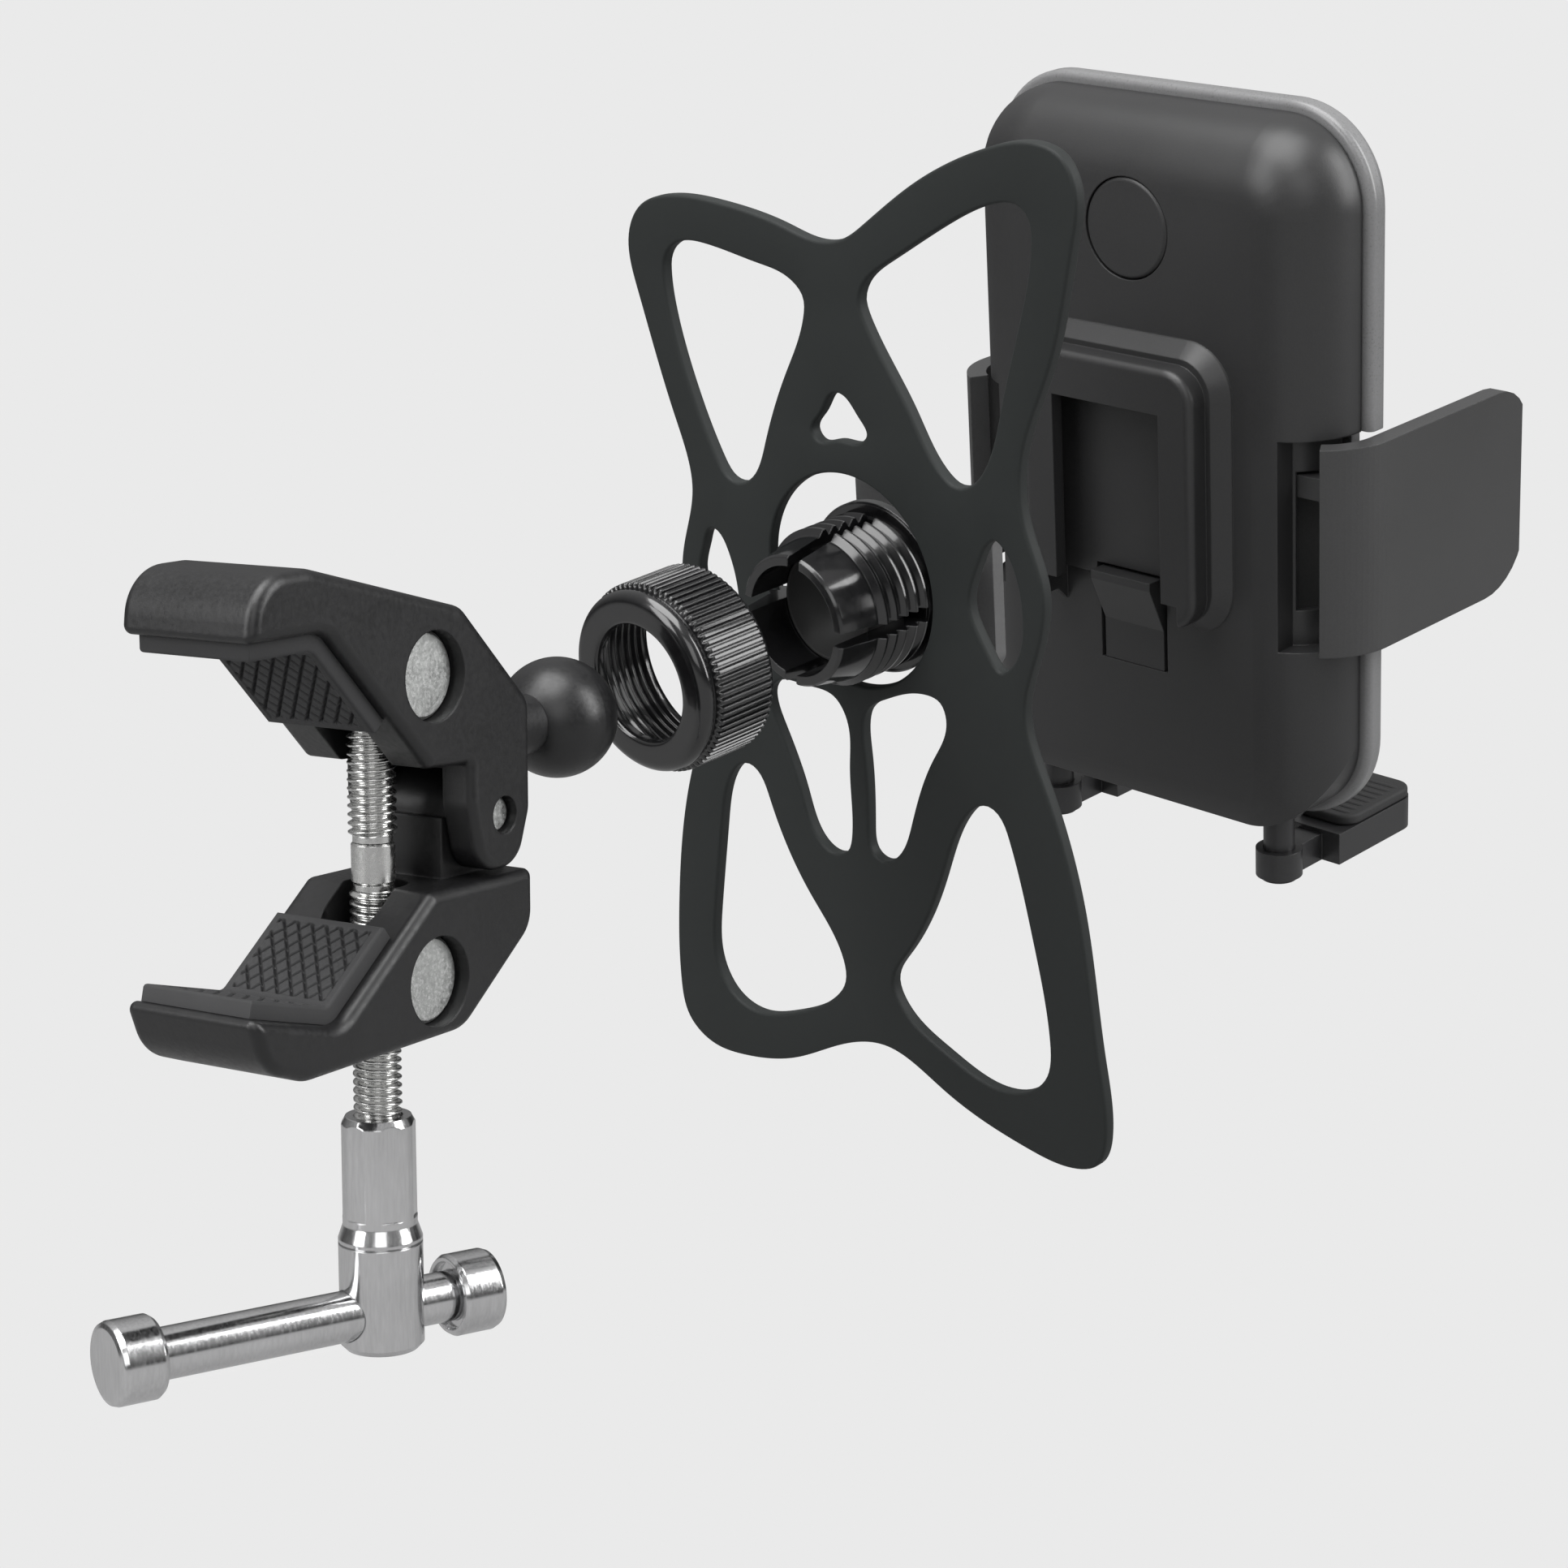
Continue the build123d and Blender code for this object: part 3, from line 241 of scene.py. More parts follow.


# ---------------------------------------------------------------------------- materials
# The lighter colours given for the edges are painted highlights along each part's edges.
SURFACES = {
    "jaw_black": dict(
        colour=(0.0055, 0.0055, 0.006), vary=0.2, rough=0.40, rough_vary=0.06, grain=1500.0,
        bump=0.22, bump_dist=0.00008, edge_highlight=(0.06, 0.06, 0.062), bevel=0.0004, spec=0.55,
        pits=0.4),
    "pad_rubber": dict(
        colour=(0.030, 0.030, 0.031), vary=0.2, rough=0.66, grain=2600.0, bump=0.25,
        bump_dist=0.00006, edge_highlight=(0.07, 0.07, 0.07), edge_highlight_amount=0.5, bevel=0.00012, spec=0.4),
    "steel_turned": dict(
        colour=(0.46, 0.47, 0.46), vary=0.15, rough=0.42, rough_vary=0.14, grain=1700.0,
        bump=0.35, bump_dist=0.00007, metallic=0.85, edge_highlight=(0.9, 0.9, 0.9), edge_highlight_amount=0.5,
        speck=dict(scale=2300.0, level=0.52, colour=(0.75, 0.75, 0.75), amount=0.6)),
    "screw_zinc": dict(
        colour=(0.66, 0.66, 0.65), vary=0.12, rough=0.24, grain=1800.0, bump_dist=0.00005,
        metallic=1.0, edge_highlight=(0.95, 0.95, 0.94), edge_highlight_amount=0.6, bevel=0.00012),
    "handle_chrome": dict(
        colour=(0.60, 0.60, 0.605), vary=0.08, rough=0.16, rough_vary=0.06, grain=2600.0,
        bump=0.10, bump_dist=0.00004, metallic=1.0, edge_highlight=(0.95, 0.95, 0.95), edge_highlight_amount=0.5,
        stretch=(1.0, 1.0, 0.12)),
    "ball_black": dict(
        colour=(0.008, 0.008, 0.0085), vary=0.2, rough=0.36, rough_vary=0.06, grain=1900.0,
        bump=0.15, bump_dist=0.00006),
    "gloss_black": dict(
        colour=(0.006, 0.006, 0.0065), rough=0.16, rough_vary=0.04, grain=700.0, bump=0.05,
        bump_dist=0.00006, spec=0.6, edge_highlight=(0.05, 0.05, 0.05), edge_highlight_amount=0.3, bevel=0.0003,
        coat=0.4, coat_rough=0.06),
    "plate_grey": dict(
        colour=(0.115, 0.115, 0.116), vary=0.12, grain=2400.0, bump=0.15, bump_dist=0.00006,
        edge_highlight=(0.2, 0.2, 0.2), edge_highlight_amount=0.4),
    "liner": dict(colour=(0.03, 0.03, 0.03), rough=0.55),
    "strap_silicone": dict(
        colour=(0.0145, 0.0168, 0.0164), vary=0.08, rough=0.62, rough_vary=0.05, grain=3200.0,
        bump=0.10, bump_dist=0.00005, edge_highlight=(0.05, 0.055, 0.054), edge_highlight_amount=0.3,
        bevel=0.0002, spec=0.3, sheen=0.02, cloud=25.0),
    "shell_grey": dict(
        colour=(0.0215, 0.0215, 0.022), vary=0.10, rough=0.40, rough_vary=0.04, grain=3400.0,
        bump=0.22, bump_dist=0.00005, edge_highlight=(0.07, 0.07, 0.07), edge_highlight_amount=0.3,
        bevel=0.0003, cloud=30.0),
    "bezel_grey": dict(
        colour=(0.17, 0.17, 0.172), vary=0.06, rough=0.30, rough_vary=0.03, grain=3000.0,
        bump=0.08, bump_dist=0.00005, edge_highlight=(0.2, 0.2, 0.2), edge_highlight_amount=0.3, spec=0.6,
        cloud=30.0),
    "arm_grey": dict(
        colour=(0.040, 0.040, 0.0405), vary=0.08, rough=0.36, rough_vary=0.04, grain=3000.0,
        bump_dist=0.00005, edge_highlight=(0.16, 0.16, 0.16), cloud=30.0),
    "foot_black": dict(
        colour=(0.022, 0.022, 0.023), vary=0.1, rough=0.34, rough_vary=0.05, grain=3000.0,
        bump_dist=0.00005, edge_highlight=(0.08, 0.08, 0.08)),
    "soft_pad": dict(
        colour=(0.022, 0.022, 0.0225), vary=0.12, rough=0.7, grain=2800.0, bump=0.2,
        bump_dist=0.00006, edge_highlight=(0.05, 0.05, 0.05), edge_highlight_amount=0.4),
    "pad_grey": dict(
        colour=(0.16, 0.16, 0.16), vary=0.08, rough=0.6, grain=2800.0, bump=0.2,
        bump_dist=0.00006, edge_highlight=(0.25, 0.25, 0.25), edge_highlight_amount=0.4),
    "gear_white": dict(
        colour=(0.55, 0.55, 0.51), vary=0.06, rough=0.45, grain=1500.0, bump=0.1,
        edge_highlight=(0.7, 0.7, 0.68), edge_highlight_amount=0.3),
    "spring_steel": dict(colour=(0.45, 0.45, 0.45), rough=0.3, metallic=1.0, grain=2600.0),
}
MATERIALS = {name: surface(name, **settings) for name, settings in SURFACES.items()}
FOOT_NODES = ("left_foot_post", "right_foot_post", "left_foot", "right_foot")

for part in frame["record"]["subparts"]:
    key = "foot_black" if part["node"] in FOOT_NODES else part["material_slot"]
    part_slots = frame["nodes"][part["node"]].data.materials
    part_slots.clear()
    part_slots.append(MATERIALS.get(key, MATERIALS["shell_grey"]))


# --------------------------------------------------------------------------- mesh helpers
def smoothstep(x):
    x = np.clip(x, 0, 1)
    return x * x * (3 - 2 * x)


def quarter_round(x):
    """Height of a quarter circle that climbs from 0 to 1 as x does."""
    return np.sqrt(np.clip(1 - (1 - np.clip(x, 0, 1)) ** 2, 0, 1))


def triangle_wave(phase):
    """0 at whole phases, 1 halfway between."""
    return 1 - np.abs((phase % 1.0) * 2 - 1)


def finish_object(mesh, bm, material, sharp):
    """Write bm to the mesh and link its object, smooth except at edges over sharp degrees."""
    bmesh.ops.recalc_face_normals(bm, faces=bm.faces)
    bm.to_mesh(mesh)
    bm.free()
    mesh.polygons.foreach_set("use_smooth", [True] * len(mesh.polygons))
    mesh.set_sharp_from_angle(angle=math.radians(sharp))
    mesh.materials.append(MATERIALS[material])
    obj = bpy.data.objects.new(mesh.name, mesh)
    bpy.context.scene.collection.objects.link(obj)
    return obj


def make_object(name, verts, faces, material, sharp):
    mesh = bpy.data.meshes.new(name)
    mesh.from_pydata([tuple(map(float, v)) for v in verts], [],
                     [tuple(int(i) for i in face) for face in faces])
    mesh.update()
    bm = bmesh.new()
    bm.from_mesh(mesh)
    return finish_object(mesh, bm, material, sharp)


def attach(obj, body, node):
    """Let the object move with a body and stand in for a CAD node."""
    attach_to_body(obj, body)
    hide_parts(node)


def grid_faces(rows, cols, close_rows=False, close_cols=False):
    faces = []
    for i in range(rows if close_rows else rows - 1):
        for j in range(cols if close_cols else cols - 1):
            here, after = i * cols, (i + 1) % rows * cols
            k = (j + 1) % cols
            faces.append((here + j, after + j, after + k, here + k))
    return faces


def slab_mesh(top, bottom):
    """Closed solid between two grids of the same shape (rows, cols, 3)."""
    rows, cols = top.shape[:2]
    verts = np.concatenate([top.reshape(-1, 3), bottom.reshape(-1, 3)])
    n = rows * cols
    faces = grid_faces(rows, cols)
    faces += [(a + n, d + n, c + n, b + n) for a, b, c, d in faces]
    for j in range(cols - 1):
        k = (rows - 1) * cols + j
        faces.append((j, j + 1, n + j + 1, n + j))
        faces.append((k, n + k, n + k + 1, k + 1))
    for i in range(rows - 1):
        a, b = i * cols, (i + 1) * cols
        faces.append((a, n + a, n + b, b))
        a, b = a + cols - 1, b + cols - 1
        faces.append((a, b, n + b, n + a))
    return verts, faces


def join_parts(parts):
    verts, faces, offset = [], [], 0
    for part_verts, part_faces in parts:
        verts.append(part_verts)
        faces += [tuple(i + offset for i in face) for face in part_faces]
        offset += len(part_verts)
    return np.concatenate(verts), faces


def spline_loop(points, n):
    """Closed cubic spline through the points, chord-length parameter, n samples."""
    P = np.asarray(points, float)
    m = len(P)
    chord = np.linalg.norm(np.roll(P, -1, 0) - P, axis=1)
    system = np.zeros((m, m))
    rhs = np.zeros((m, 2))
    for i in range(m):
        k = (i + 1) % m
        h0, h1 = chord[i - 1], chord[i]
        system[i, i - 1] += h0
        system[i, i] += 2 * (h0 + h1)
        system[i, k] += h1
        rhs[i] = 6 * ((P[k] - P[i]) / h1 - (P[i] - P[i - 1]) / h0)
    curve = np.linalg.solve(system, rhs)        # second derivatives at the points
    along = np.concatenate([[0], np.cumsum(chord)])
    samples = []
    for t in np.linspace(0, along[-1], n, endpoint=False):
        i = min(int(np.searchsorted(along, t, side="right")) - 1, m - 1)
        k = (i + 1) % m
        h = chord[i]
        a, b = (along[i + 1] - t) / h, (t - along[i]) / h
        samples.append(a * P[i] + b * P[k]
                       + ((a ** 3 - a) * curve[i] + (b ** 3 - b) * curve[k]) * h * h / 6)
    return np.array(samples)


def loop_normals(loop, is_hole):
    """Unit vectors in the plane pointing into the material."""
    tangent = np.roll(loop, -1, 0) - np.roll(loop, 1, 0)
    tangent /= np.linalg.norm(tangent, axis=1)[:, None] + 1e-12
    x, z = loop[:, 0], loop[:, 1]
    twice_area = np.sum(x * np.roll(z, -1) - np.roll(x, -1) * z)
    left = np.stack([-tangent[:, 1], tangent[:, 0]], -1)
    inward = left if twice_area > 0 else -left
    return -inward if is_hole else inward


def sheet(name, outer, holes, y0, thickness, rim, segments, material, to_world):
    """Flat sheet from closed (x, z) loops, y0 to y0 + thickness, its rims rounded."""
    quarter = [(rim * (1 - math.sin(a)), rim * (1 - math.cos(a)))
               for a in np.linspace(0, math.pi / 2, segments + 1)]
    # (inset, depth) from the low-y face round to the high-y face
    rim_profile = quarter + [(inset, thickness - depth) for inset, depth in reversed(quarter)]
    bm = bmesh.new()
    low_edges, high_edges = [], []
    for loop, is_hole in [(outer, False)] + [(hole, True) for hole in holes]:
        normals = loop_normals(loop, is_hole)
        n = len(loop)
        rings = []
        for inset, depth in rim_profile:
            x, z = (loop + normals * inset).T
            points = to_world(np.stack([x, np.full(n, y0 + depth), z], -1))
            rings.append([bm.verts.new(p) for p in points])
            if len(rings) > 1:
                before, ring = rings[-2:]
                for i in range(n):
                    k = (i + 1) % n
                    bm.faces.new((before[i], before[k], ring[k], ring[i]))
        for ring, edges in ((rings[0], low_edges), (rings[-1], high_edges)):
            edges += [bm.edges.get((ring[i], ring[(i + 1) % n])) for i in range(n)]
    for edges in (low_edges, high_edges):
        bmesh.ops.triangle_fill(bm, use_beauty=True, use_dissolve=False, edges=edges)
    return finish_object(bpy.data.meshes.new(name), bm, material, sharp=50)


def rounded_rect(x0, x1, z0, z1, r, n=10):
    points = []
    for cx, cz, start in ((x1 - r, z1 - r, 0), (x0 + r, z1 - r, 90),
                          (x0 + r, z0 + r, 180), (x1 - r, z0 + r, 270)):
        for k in range(n + 1):
            a = math.radians(start + 90 * k / n)
            points.append((cx + r * math.cos(a), cz + r * math.sin(a)))
    return np.array(points)


def rib(x0, x1, z, half_width, y_base, height, n):
    """Half-round bar along x with rounded ends, raised towards +y from y_base."""
    sunk = 0.15
    x = np.linspace(x0, x1, 14)
    end = quarter_round(np.minimum(x - x[0], x[-1] - x) / half_width)
    a = np.linspace(0, math.pi, n)
    rib_x = np.repeat(x[:, None], n, 1)
    rib_z = z + np.outer(half_width * np.maximum(0.15, end), np.cos(a))
    rib_y = y_base + np.outer(height * np.maximum(end, 0.02), np.sin(a))
    top = np.stack([rib_x, rib_y, rib_z], -1)
    bottom = np.stack([rib_x, np.full_like(rib_x, y_base - sunk), rib_z], -1)
    return slab_mesh(top, bottom)


# ------------------------------------------------------------------------- jaw linings
LINING_T, LINING_HALF = 2.3, 9.0            # thickness, and half width along x
LINING_ROWS, LINING_COLS = 300, 190
GROOVE_ANGLE = math.radians(53.5)
GROOVE_PITCH, GROOVE_HALF, GROOVE_DEPTH = 1.95, 0.30, 0.62
BASE_DEPTH, DEPTH_JITTER = 0.10, 0.05       # of the lozenges between the grooves
EDGE_MARGIN, BEND_MARGIN, MARGIN_FADE = 1.15, 0.9, 0.25
LINING_RIM = 0.45
BEND_REACH, BEND_WINDOW = 2.6, 1.1          # softening of the bend along the lining


def lining_depth(along, across, length, bend, seed):
    """Depth of the lozenge pattern and rounded rim below the outer face."""
    cos_a, sin_a = math.cos(GROOVE_ANGLE), math.sin(GROOVE_ANGLE)
    grid1 = (across * sin_a + along * cos_a) / GROOVE_PITCH
    grid2 = (across * sin_a - along * cos_a) / GROOVE_PITCH
    to_groove = np.minimum(np.abs(grid1 - np.round(grid1)),
                           np.abs(grid2 - np.round(grid2))) * GROOVE_PITCH
    raised = smoothstep(to_groove / GROOVE_HALF)
    cell1, cell2 = (np.floor(g + 0.5).astype(int) % 200 for g in (grid1, grid2))
    jitter = np.random.RandomState(seed).uniform(0.0, 1.0, (200, 200))[cell1, cell2]
    # smooth margin all round and one across the bend
    to_edge = np.minimum(np.minimum(along, length - along), LINING_HALF - np.abs(across))
    patterned = (np.clip((to_edge - EDGE_MARGIN) / MARGIN_FADE, 0, 1)
                 * np.clip((np.abs(along - bend) - BEND_MARGIN) / MARGIN_FADE, 0, 1))
    depth = patterned * ((1 - raised) * GROOVE_DEPTH + BASE_DEPTH + DEPTH_JITTER * jitter)
    return depth + LINING_RIM * (1 - quarter_round(to_edge / LINING_RIM))


def jaw_lining(name, path, side, body, node, seed):
    """Knurled lining on a jaw face that bends once; path holds three (y, z) points."""
    a, b, c = base = np.array(path, float)

    def offset(p, q):
        d = (q - p) / np.linalg.norm(q - p)
        return np.array([-d[1], d[0]]) * LINING_T * side

    offset1, offset2 = offset(a, b), offset(b, c)
    mitre = offset1 + offset2
    outer = [a + offset1, b + mitre * (LINING_T ** 2 / mitre.dot(offset1)), c + offset2]
    bend, rest = np.linalg.norm(b - a), np.linalg.norm(c - b)
    length = bend + rest
    distance = np.linspace(0, length, LINING_ROWS)
    base_path, outer_path = np.zeros((2, LINING_ROWS, 2))
    for i, d in enumerate(distance):
        k, share = (0, d / bend) if d <= bend else (1, (d - bend) / rest)
        base_path[i] = base[k] + (base[k + 1] - base[k]) * share
        outer_path[i] = outer[k] + (outer[k + 1] - outer[k]) * share
    # soften the bend of the outer path
    soft_path = outer_path.copy()
    window = int(BEND_WINDOW / (length / LINING_ROWS))
    for i, d in enumerate(distance):
        if abs(d - bend) < BEND_REACH:
            weight = 1 - abs(d - bend) / BEND_REACH
            mean = outer_path[max(0, i - window):i + window + 1].mean(0)
            soft_path[i] = outer_path[i] * (1 - weight) + mean * weight

    width = np.linspace(-LINING_HALF, LINING_HALF, LINING_COLS)
    along, across = np.meshgrid(distance, width, indexing="ij")
    depth = lining_depth(along, across, length, bend, seed)
    rise = np.clip(1 - depth / LINING_T, 0.05, 1.0) - 0.004
    face = base_path[:, None, :] + (soft_path - base_path)[:, None, :] * rise[:, :, None]
    back = base_path + (outer_path - base_path) * 0.01
    back = np.repeat(back[:, None, :], LINING_COLS, 1)
    top, bottom = (np.concatenate([across[..., None], yz], -1) * MM for yz in (face, back))
    obj = make_object(name, *slab_mesh(top, bottom), "pad_rubber", sharp=60)
    attach(obj, body, node)


jaw_lining("knurled_lining_upper", [(-72.8, 18.40), (-60.4, 18.56), (-48.11, 6.13)],
           side=-1, body="clamp", node="upper_jaw_pad", seed=3)
jaw_lining("knurled_lining_lower", [(-74.4, -27.59), (-59.4, -31.36), (-47.52, -22.19)],
           side=+1, body="lower_clamp", node="lower_jaw_pad", seed=5)

# --------------------------------------------------------------------------- corner strap
# Outline and openings as (x, z) spline points in the socket frame.
STRAP_OUTER = [
    (-1.8, 54.3), (1.6, 55.3), (5.2, 57.6), (15.8, 65.1), (30.4, 71.9), (38.2, 73.4),
    (43.2, 72.0), (45.7, 67.8), (44.9, 60.0), (40.1, 42.0), (34.4, 27.7), (34.4, 18.3),
    (37.6, 9.0), (36.1, -1.7), (33.4, -11.8), (36.7, -22.1), (42.8, -41.7), (45.8, -64.4),
    (46.9, -76.7), (45.1, -82.2), (40.0, -84.6), (30.8, -84.3), (14.1, -80.0), (2.4, -75.9),
    (-6.3, -77.8), (-19.4, -84.7), (-32.6, -88.2), (-39.8, -87.9), (-44.4, -84.6),
    (-45.8, -78.2), (-44.8, -62.8), (-40.4, -41.5), (-36.2, -25.4), (-38.0, -12.0),
    (-37.4, 0.3), (-34.4, 10.9), (-37.3, 22.1), (-43.5, 40.9), (-44.8, 49.3), (-42.1, 54.3),
    (-36.1, 56.9), (-24.3, 57.3), (-10.9, 55.5), (-6.1, 54.4)]
STRAP_OPENINGS = {
    "upper, -x": [
        (-37.2, 44.8), (-37.1, 46.0), (-36.5, 47.6), (-34.0, 49.8), (-28.0, 50.5),
        (-16.5, 49.0), (-9.2, 47.0), (-7.6, 45.2), (-7.7, 42.3), (-12.0, 33.1), (-17.4, 21.2),
        (-20.6, 15.1), (-23.3, 13.6), (-25.8, 13.9), (-28.3, 16.8), (-33.2, 27.4),
        (-36.6, 38.7), (-37.2, 43.5)],
    "upper, +x": [
        (4.0, 46.1), (4.2, 47.2), (4.7, 48.3), (9.9, 52.7), (21.6, 59.8), (31.5, 64.1),
        (35.1, 64.2), (36.9, 62.8), (37.4, 59.9), (35.2, 49.0), (30.9, 34.9), (27.3, 25.0),
        (24.3, 21.9), (21.4, 21.3), (19.0, 22.6), (13.0, 31.2), (5.2, 42.9), (4.3, 44.8)],
    "triangle": [
        (-1.5, 31.5), (-0.7, 31.4), (2.7, 28.3), (4.1, 26.0), (2.9, 24.7), (-2.1, 24.1),
        (-6.2, 23.6), (-7.0, 24.6), (-5.1, 27.8), (-2.3, 31.3)],
    "eye, -x": [
        (-30.2, 4.8), (-29.7, 4.7), (-27.1, 1.4), (-25.7, -3.9), (-26.7, -8.9), (-28.1, -9.6),
        (-31.5, -7.3), (-33.8, -3.4), (-32.4, 2.0), (-30.7, 4.7)],
    "eye, +x": [
        (28.8, 14.4), (29.5, 14.1), (32.7, 9.0), (33.5, 3.1), (30.7, -4.9), (29.2, -5.8),
        (26.4, -3.1), (23.3, 3.6), (25.5, 10.4), (28.2, 14.2)],
    "middle, -x": [
        (-19.8, -20.5), (-19.5, -19.6), (-17.8, -17.9), (-12.0, -17.3), (-5.4, -18.0),
        (-3.4, -20.7), (-3.2, -28.6), (-3.5, -40.3), (-4.7, -43.5), (-7.8, -44.6),
        (-10.6, -43.3), (-14.0, -36.0), (-18.2, -26.0), (-19.8, -21.7)],
    "middle, +x": [
        (0.9, -19.0), (1.5, -18.1), (5.0, -15.8), (13.9, -13.0), (16.6, -13.7), (17.5, -15.6),
        (14.7, -23.0), (9.6, -34.8), (6.0, -41.7), (2.9, -43.1), (1.1, -42.4), (0.3, -38.2),
        (0.4, -26.2), (0.5, -20.1)],
    "lower, -x": [
        (-26.6, -34.1), (-25.5, -34.0), (-24.3, -34.4), (-21.4, -39.1), (-13.3, -53.7),
        (-7.3, -62.2), (-6.7, -66.4), (-9.7, -70.8), (-19.6, -76.5), (-28.4, -78.7),
        (-33.4, -76.9), (-36.3, -72.3), (-36.1, -63.1), (-33.0, -46.6), (-29.7, -36.6),
        (-27.9, -34.7)],
    "lower, +x": [
        (24.4, -28.3), (25.6, -28.2), (27.1, -28.8), (29.4, -32.7), (33.4, -48.0),
        (36.1, -63.7), (35.4, -70.1), (31.4, -74.2), (24.3, -75.7), (14.2, -72.8),
        (5.2, -67.3), (3.9, -64.4), (6.9, -58.3), (15.3, -42.8), (21.1, -30.7),
        (23.0, -28.9)],
}
ROUND_HOLE_X, ROUND_HOLE_Z, ROUND_HOLE_R = -0.9, 2.2, 16.8


def corner_strap():
    holes = [spline_loop(points, 120) for points in STRAP_OPENINGS.values()]
    a = np.linspace(0, 2 * math.pi, 140, endpoint=False)
    holes.append(np.stack([ROUND_HOLE_X + ROUND_HOLE_R * np.cos(a),
                           ROUND_HOLE_Z + ROUND_HOLE_R * np.sin(a)], -1))
    strap = sheet("silicone_corner_strap", spline_loop(STRAP_OUTER, 560), holes, y0=60.42,
                  thickness=2.16, rim=0.5, segments=5, material="strap_silicone",
                  to_world=socket_to_world)
    attach(strap, "strap", "corner_strap")


corner_strap()

# ------------------------------------------------------------------------- clamp screw
SCREW_R, CORE_R, NECK_R, SCREW_PITCH = 3.25, 2.62, 2.0, 1.15
SCREW_Y, SCREW_BOTTOM, SCREW_TOP = -40.0, -60.38, 11.5     # axis parallel to z
SCREW_STEP, SCREW_SIDES = 0.085, 56
COLLAR_Z = -14.3                    # the thread changes hand here
NECK_HALF, PLAIN_HALF = 2.74, 3.7   # half lengths of the neck and the unthreaded stretch


def clamp_screw():
    n = SCREW_SIDES
    heights = np.arange(SCREW_BOTTOM, SCREW_TOP + 1e-6, SCREW_STEP)
    z, angle = np.meshgrid(heights, np.linspace(0, 2 * math.pi, n, endpoint=False),
                           indexing="ij")
    hand = np.where(z > COLLAR_Z, 1.0, -1.0)
    wave = triangle_wave(z / SCREW_PITCH - hand * angle / (2 * math.pi))
    flank = np.clip((wave - 0.12) / 0.70, 0, 1)
    flank = smoothstep(flank) * 0.35 + flank * 0.65
    r = CORE_R + (SCREW_R - 0.01 - CORE_R) * flank
    from_collar = np.abs(z - COLLAR_Z)
    r[from_collar < PLAIN_HALF] = CORE_R + 0.05
    r[from_collar <= NECK_HALF] = NECK_R
    # chamfer the top end
    r = np.minimum(r, CORE_R - 0.6 + 1.3 * np.clip((SCREW_TOP - z) / 1.0, 0, 1))
    verts = np.stack([r * np.cos(angle), SCREW_Y + r * np.sin(angle), z], -1).reshape(-1, 3)
    faces = grid_faces(len(heights), n, close_cols=True)
    bottom, top = len(verts), len(verts) + 1
    verts = np.concatenate([verts, [[0, SCREW_Y, SCREW_BOTTOM], [0, SCREW_Y, SCREW_TOP]]])
    last = (len(heights) - 1) * n
    faces += [(bottom, (j + 1) % n, j) for j in range(n)]
    faces += [(top, last + j, last + (j + 1) % n) for j in range(n)]
    obj = make_object("helical_clamp_screw", verts * MM, faces, "screw_zinc", sharp=75)
    attach(obj, "screw", "clamp_screw")


clamp_screw()

# ------------------------------------------------------------------------------ ring nut
NUT_Y = 15.5                        # mouth of the nut, along the socket frame's y
NUT_RIBS, STEPS_PER_RIB = 80, 10
GRIP_R = 14.0                       # marks the profile points that carry the ribs
GRIP_ROOT, GRIP_RISE = 13.58, 0.62


def nut_profile():
    """Closed section as (r, y) from the mouth edge along the outside and back inside."""
    def arc(cr, cy, r, start, end, n):
        return [(cr + r * math.cos(a), cy + r * math.sin(a))
                for a in np.radians(np.linspace(start, end, n))]

    outside = arc(9.5, 0.7, 0.68, 180, 270, 6)
    outside += [(10.4, 0.02), (11.2, 0.02)] + arc(11.75, 1.85, 1.83, 270, 352, 12)
    outside += [(13.50, 2.15), (13.05, 2.45), (13.05, 2.72), (13.5, 2.86)]
    grip = [3.0, 3.15, 3.4, *np.linspace(3.8, 12.8, 14), 13.05, 13.2, 13.3]
    outside += [(GRIP_R, y) for y in grip]
    outside += [(13.55, 13.5), (13.45, 13.8), (13.25, 13.97), (12.95, 13.98)]
    inside = [(12.62, 13.7), (12.56, 13.3)]
    for y in np.arange(12.6, 5.4, -1.3):        # internal grooves
        inside += [(12.56, y), (12.62, y - 0.18), (13.02, y - 0.55), (13.04, y - 0.72),
                   (12.62, y - 1.08)]
    inside += [(12.56, 4.9), (12.3, 4.2), (10.9, 2.75), (9.6, 2.15), (8.9, 2.0), (8.82, 1.6)]
    return np.array(outside + inside)


def ring_nut():
    profile = nut_profile()
    n = NUT_RIBS * STEPS_PER_RIB
    turn = np.linspace(0, 2 * math.pi, n, endpoint=False)
    angle, r = np.meshgrid(turn, profile[:, 0], indexing="ij")
    y = np.repeat(profile[None, :, 1], n, 0)
    ridge = smoothstep((triangle_wave(angle * NUT_RIBS / (2 * math.pi)) - 0.26) / 0.26)
    fade = np.clip((y - 2.95) / 0.35, 0, 1) * np.clip((13.35 - y) / 0.35, 0, 1)
    ribbed = GRIP_ROOT + GRIP_RISE * ridge * quarter_round(fade)
    r = np.where(np.abs(r - GRIP_R) < 1e-6, ribbed, r)
    verts = np.stack([r * np.sin(angle), y + NUT_Y, r * np.cos(angle)], -1).reshape(-1, 3)
    faces = grid_faces(n, len(profile), close_rows=True, close_cols=True)
    obj = make_object("ribbed_ring_nut", socket_to_world(verts), faces, "gloss_black", sharp=50)
    attach(obj, "nut", "ring_nut")


ring_nut()

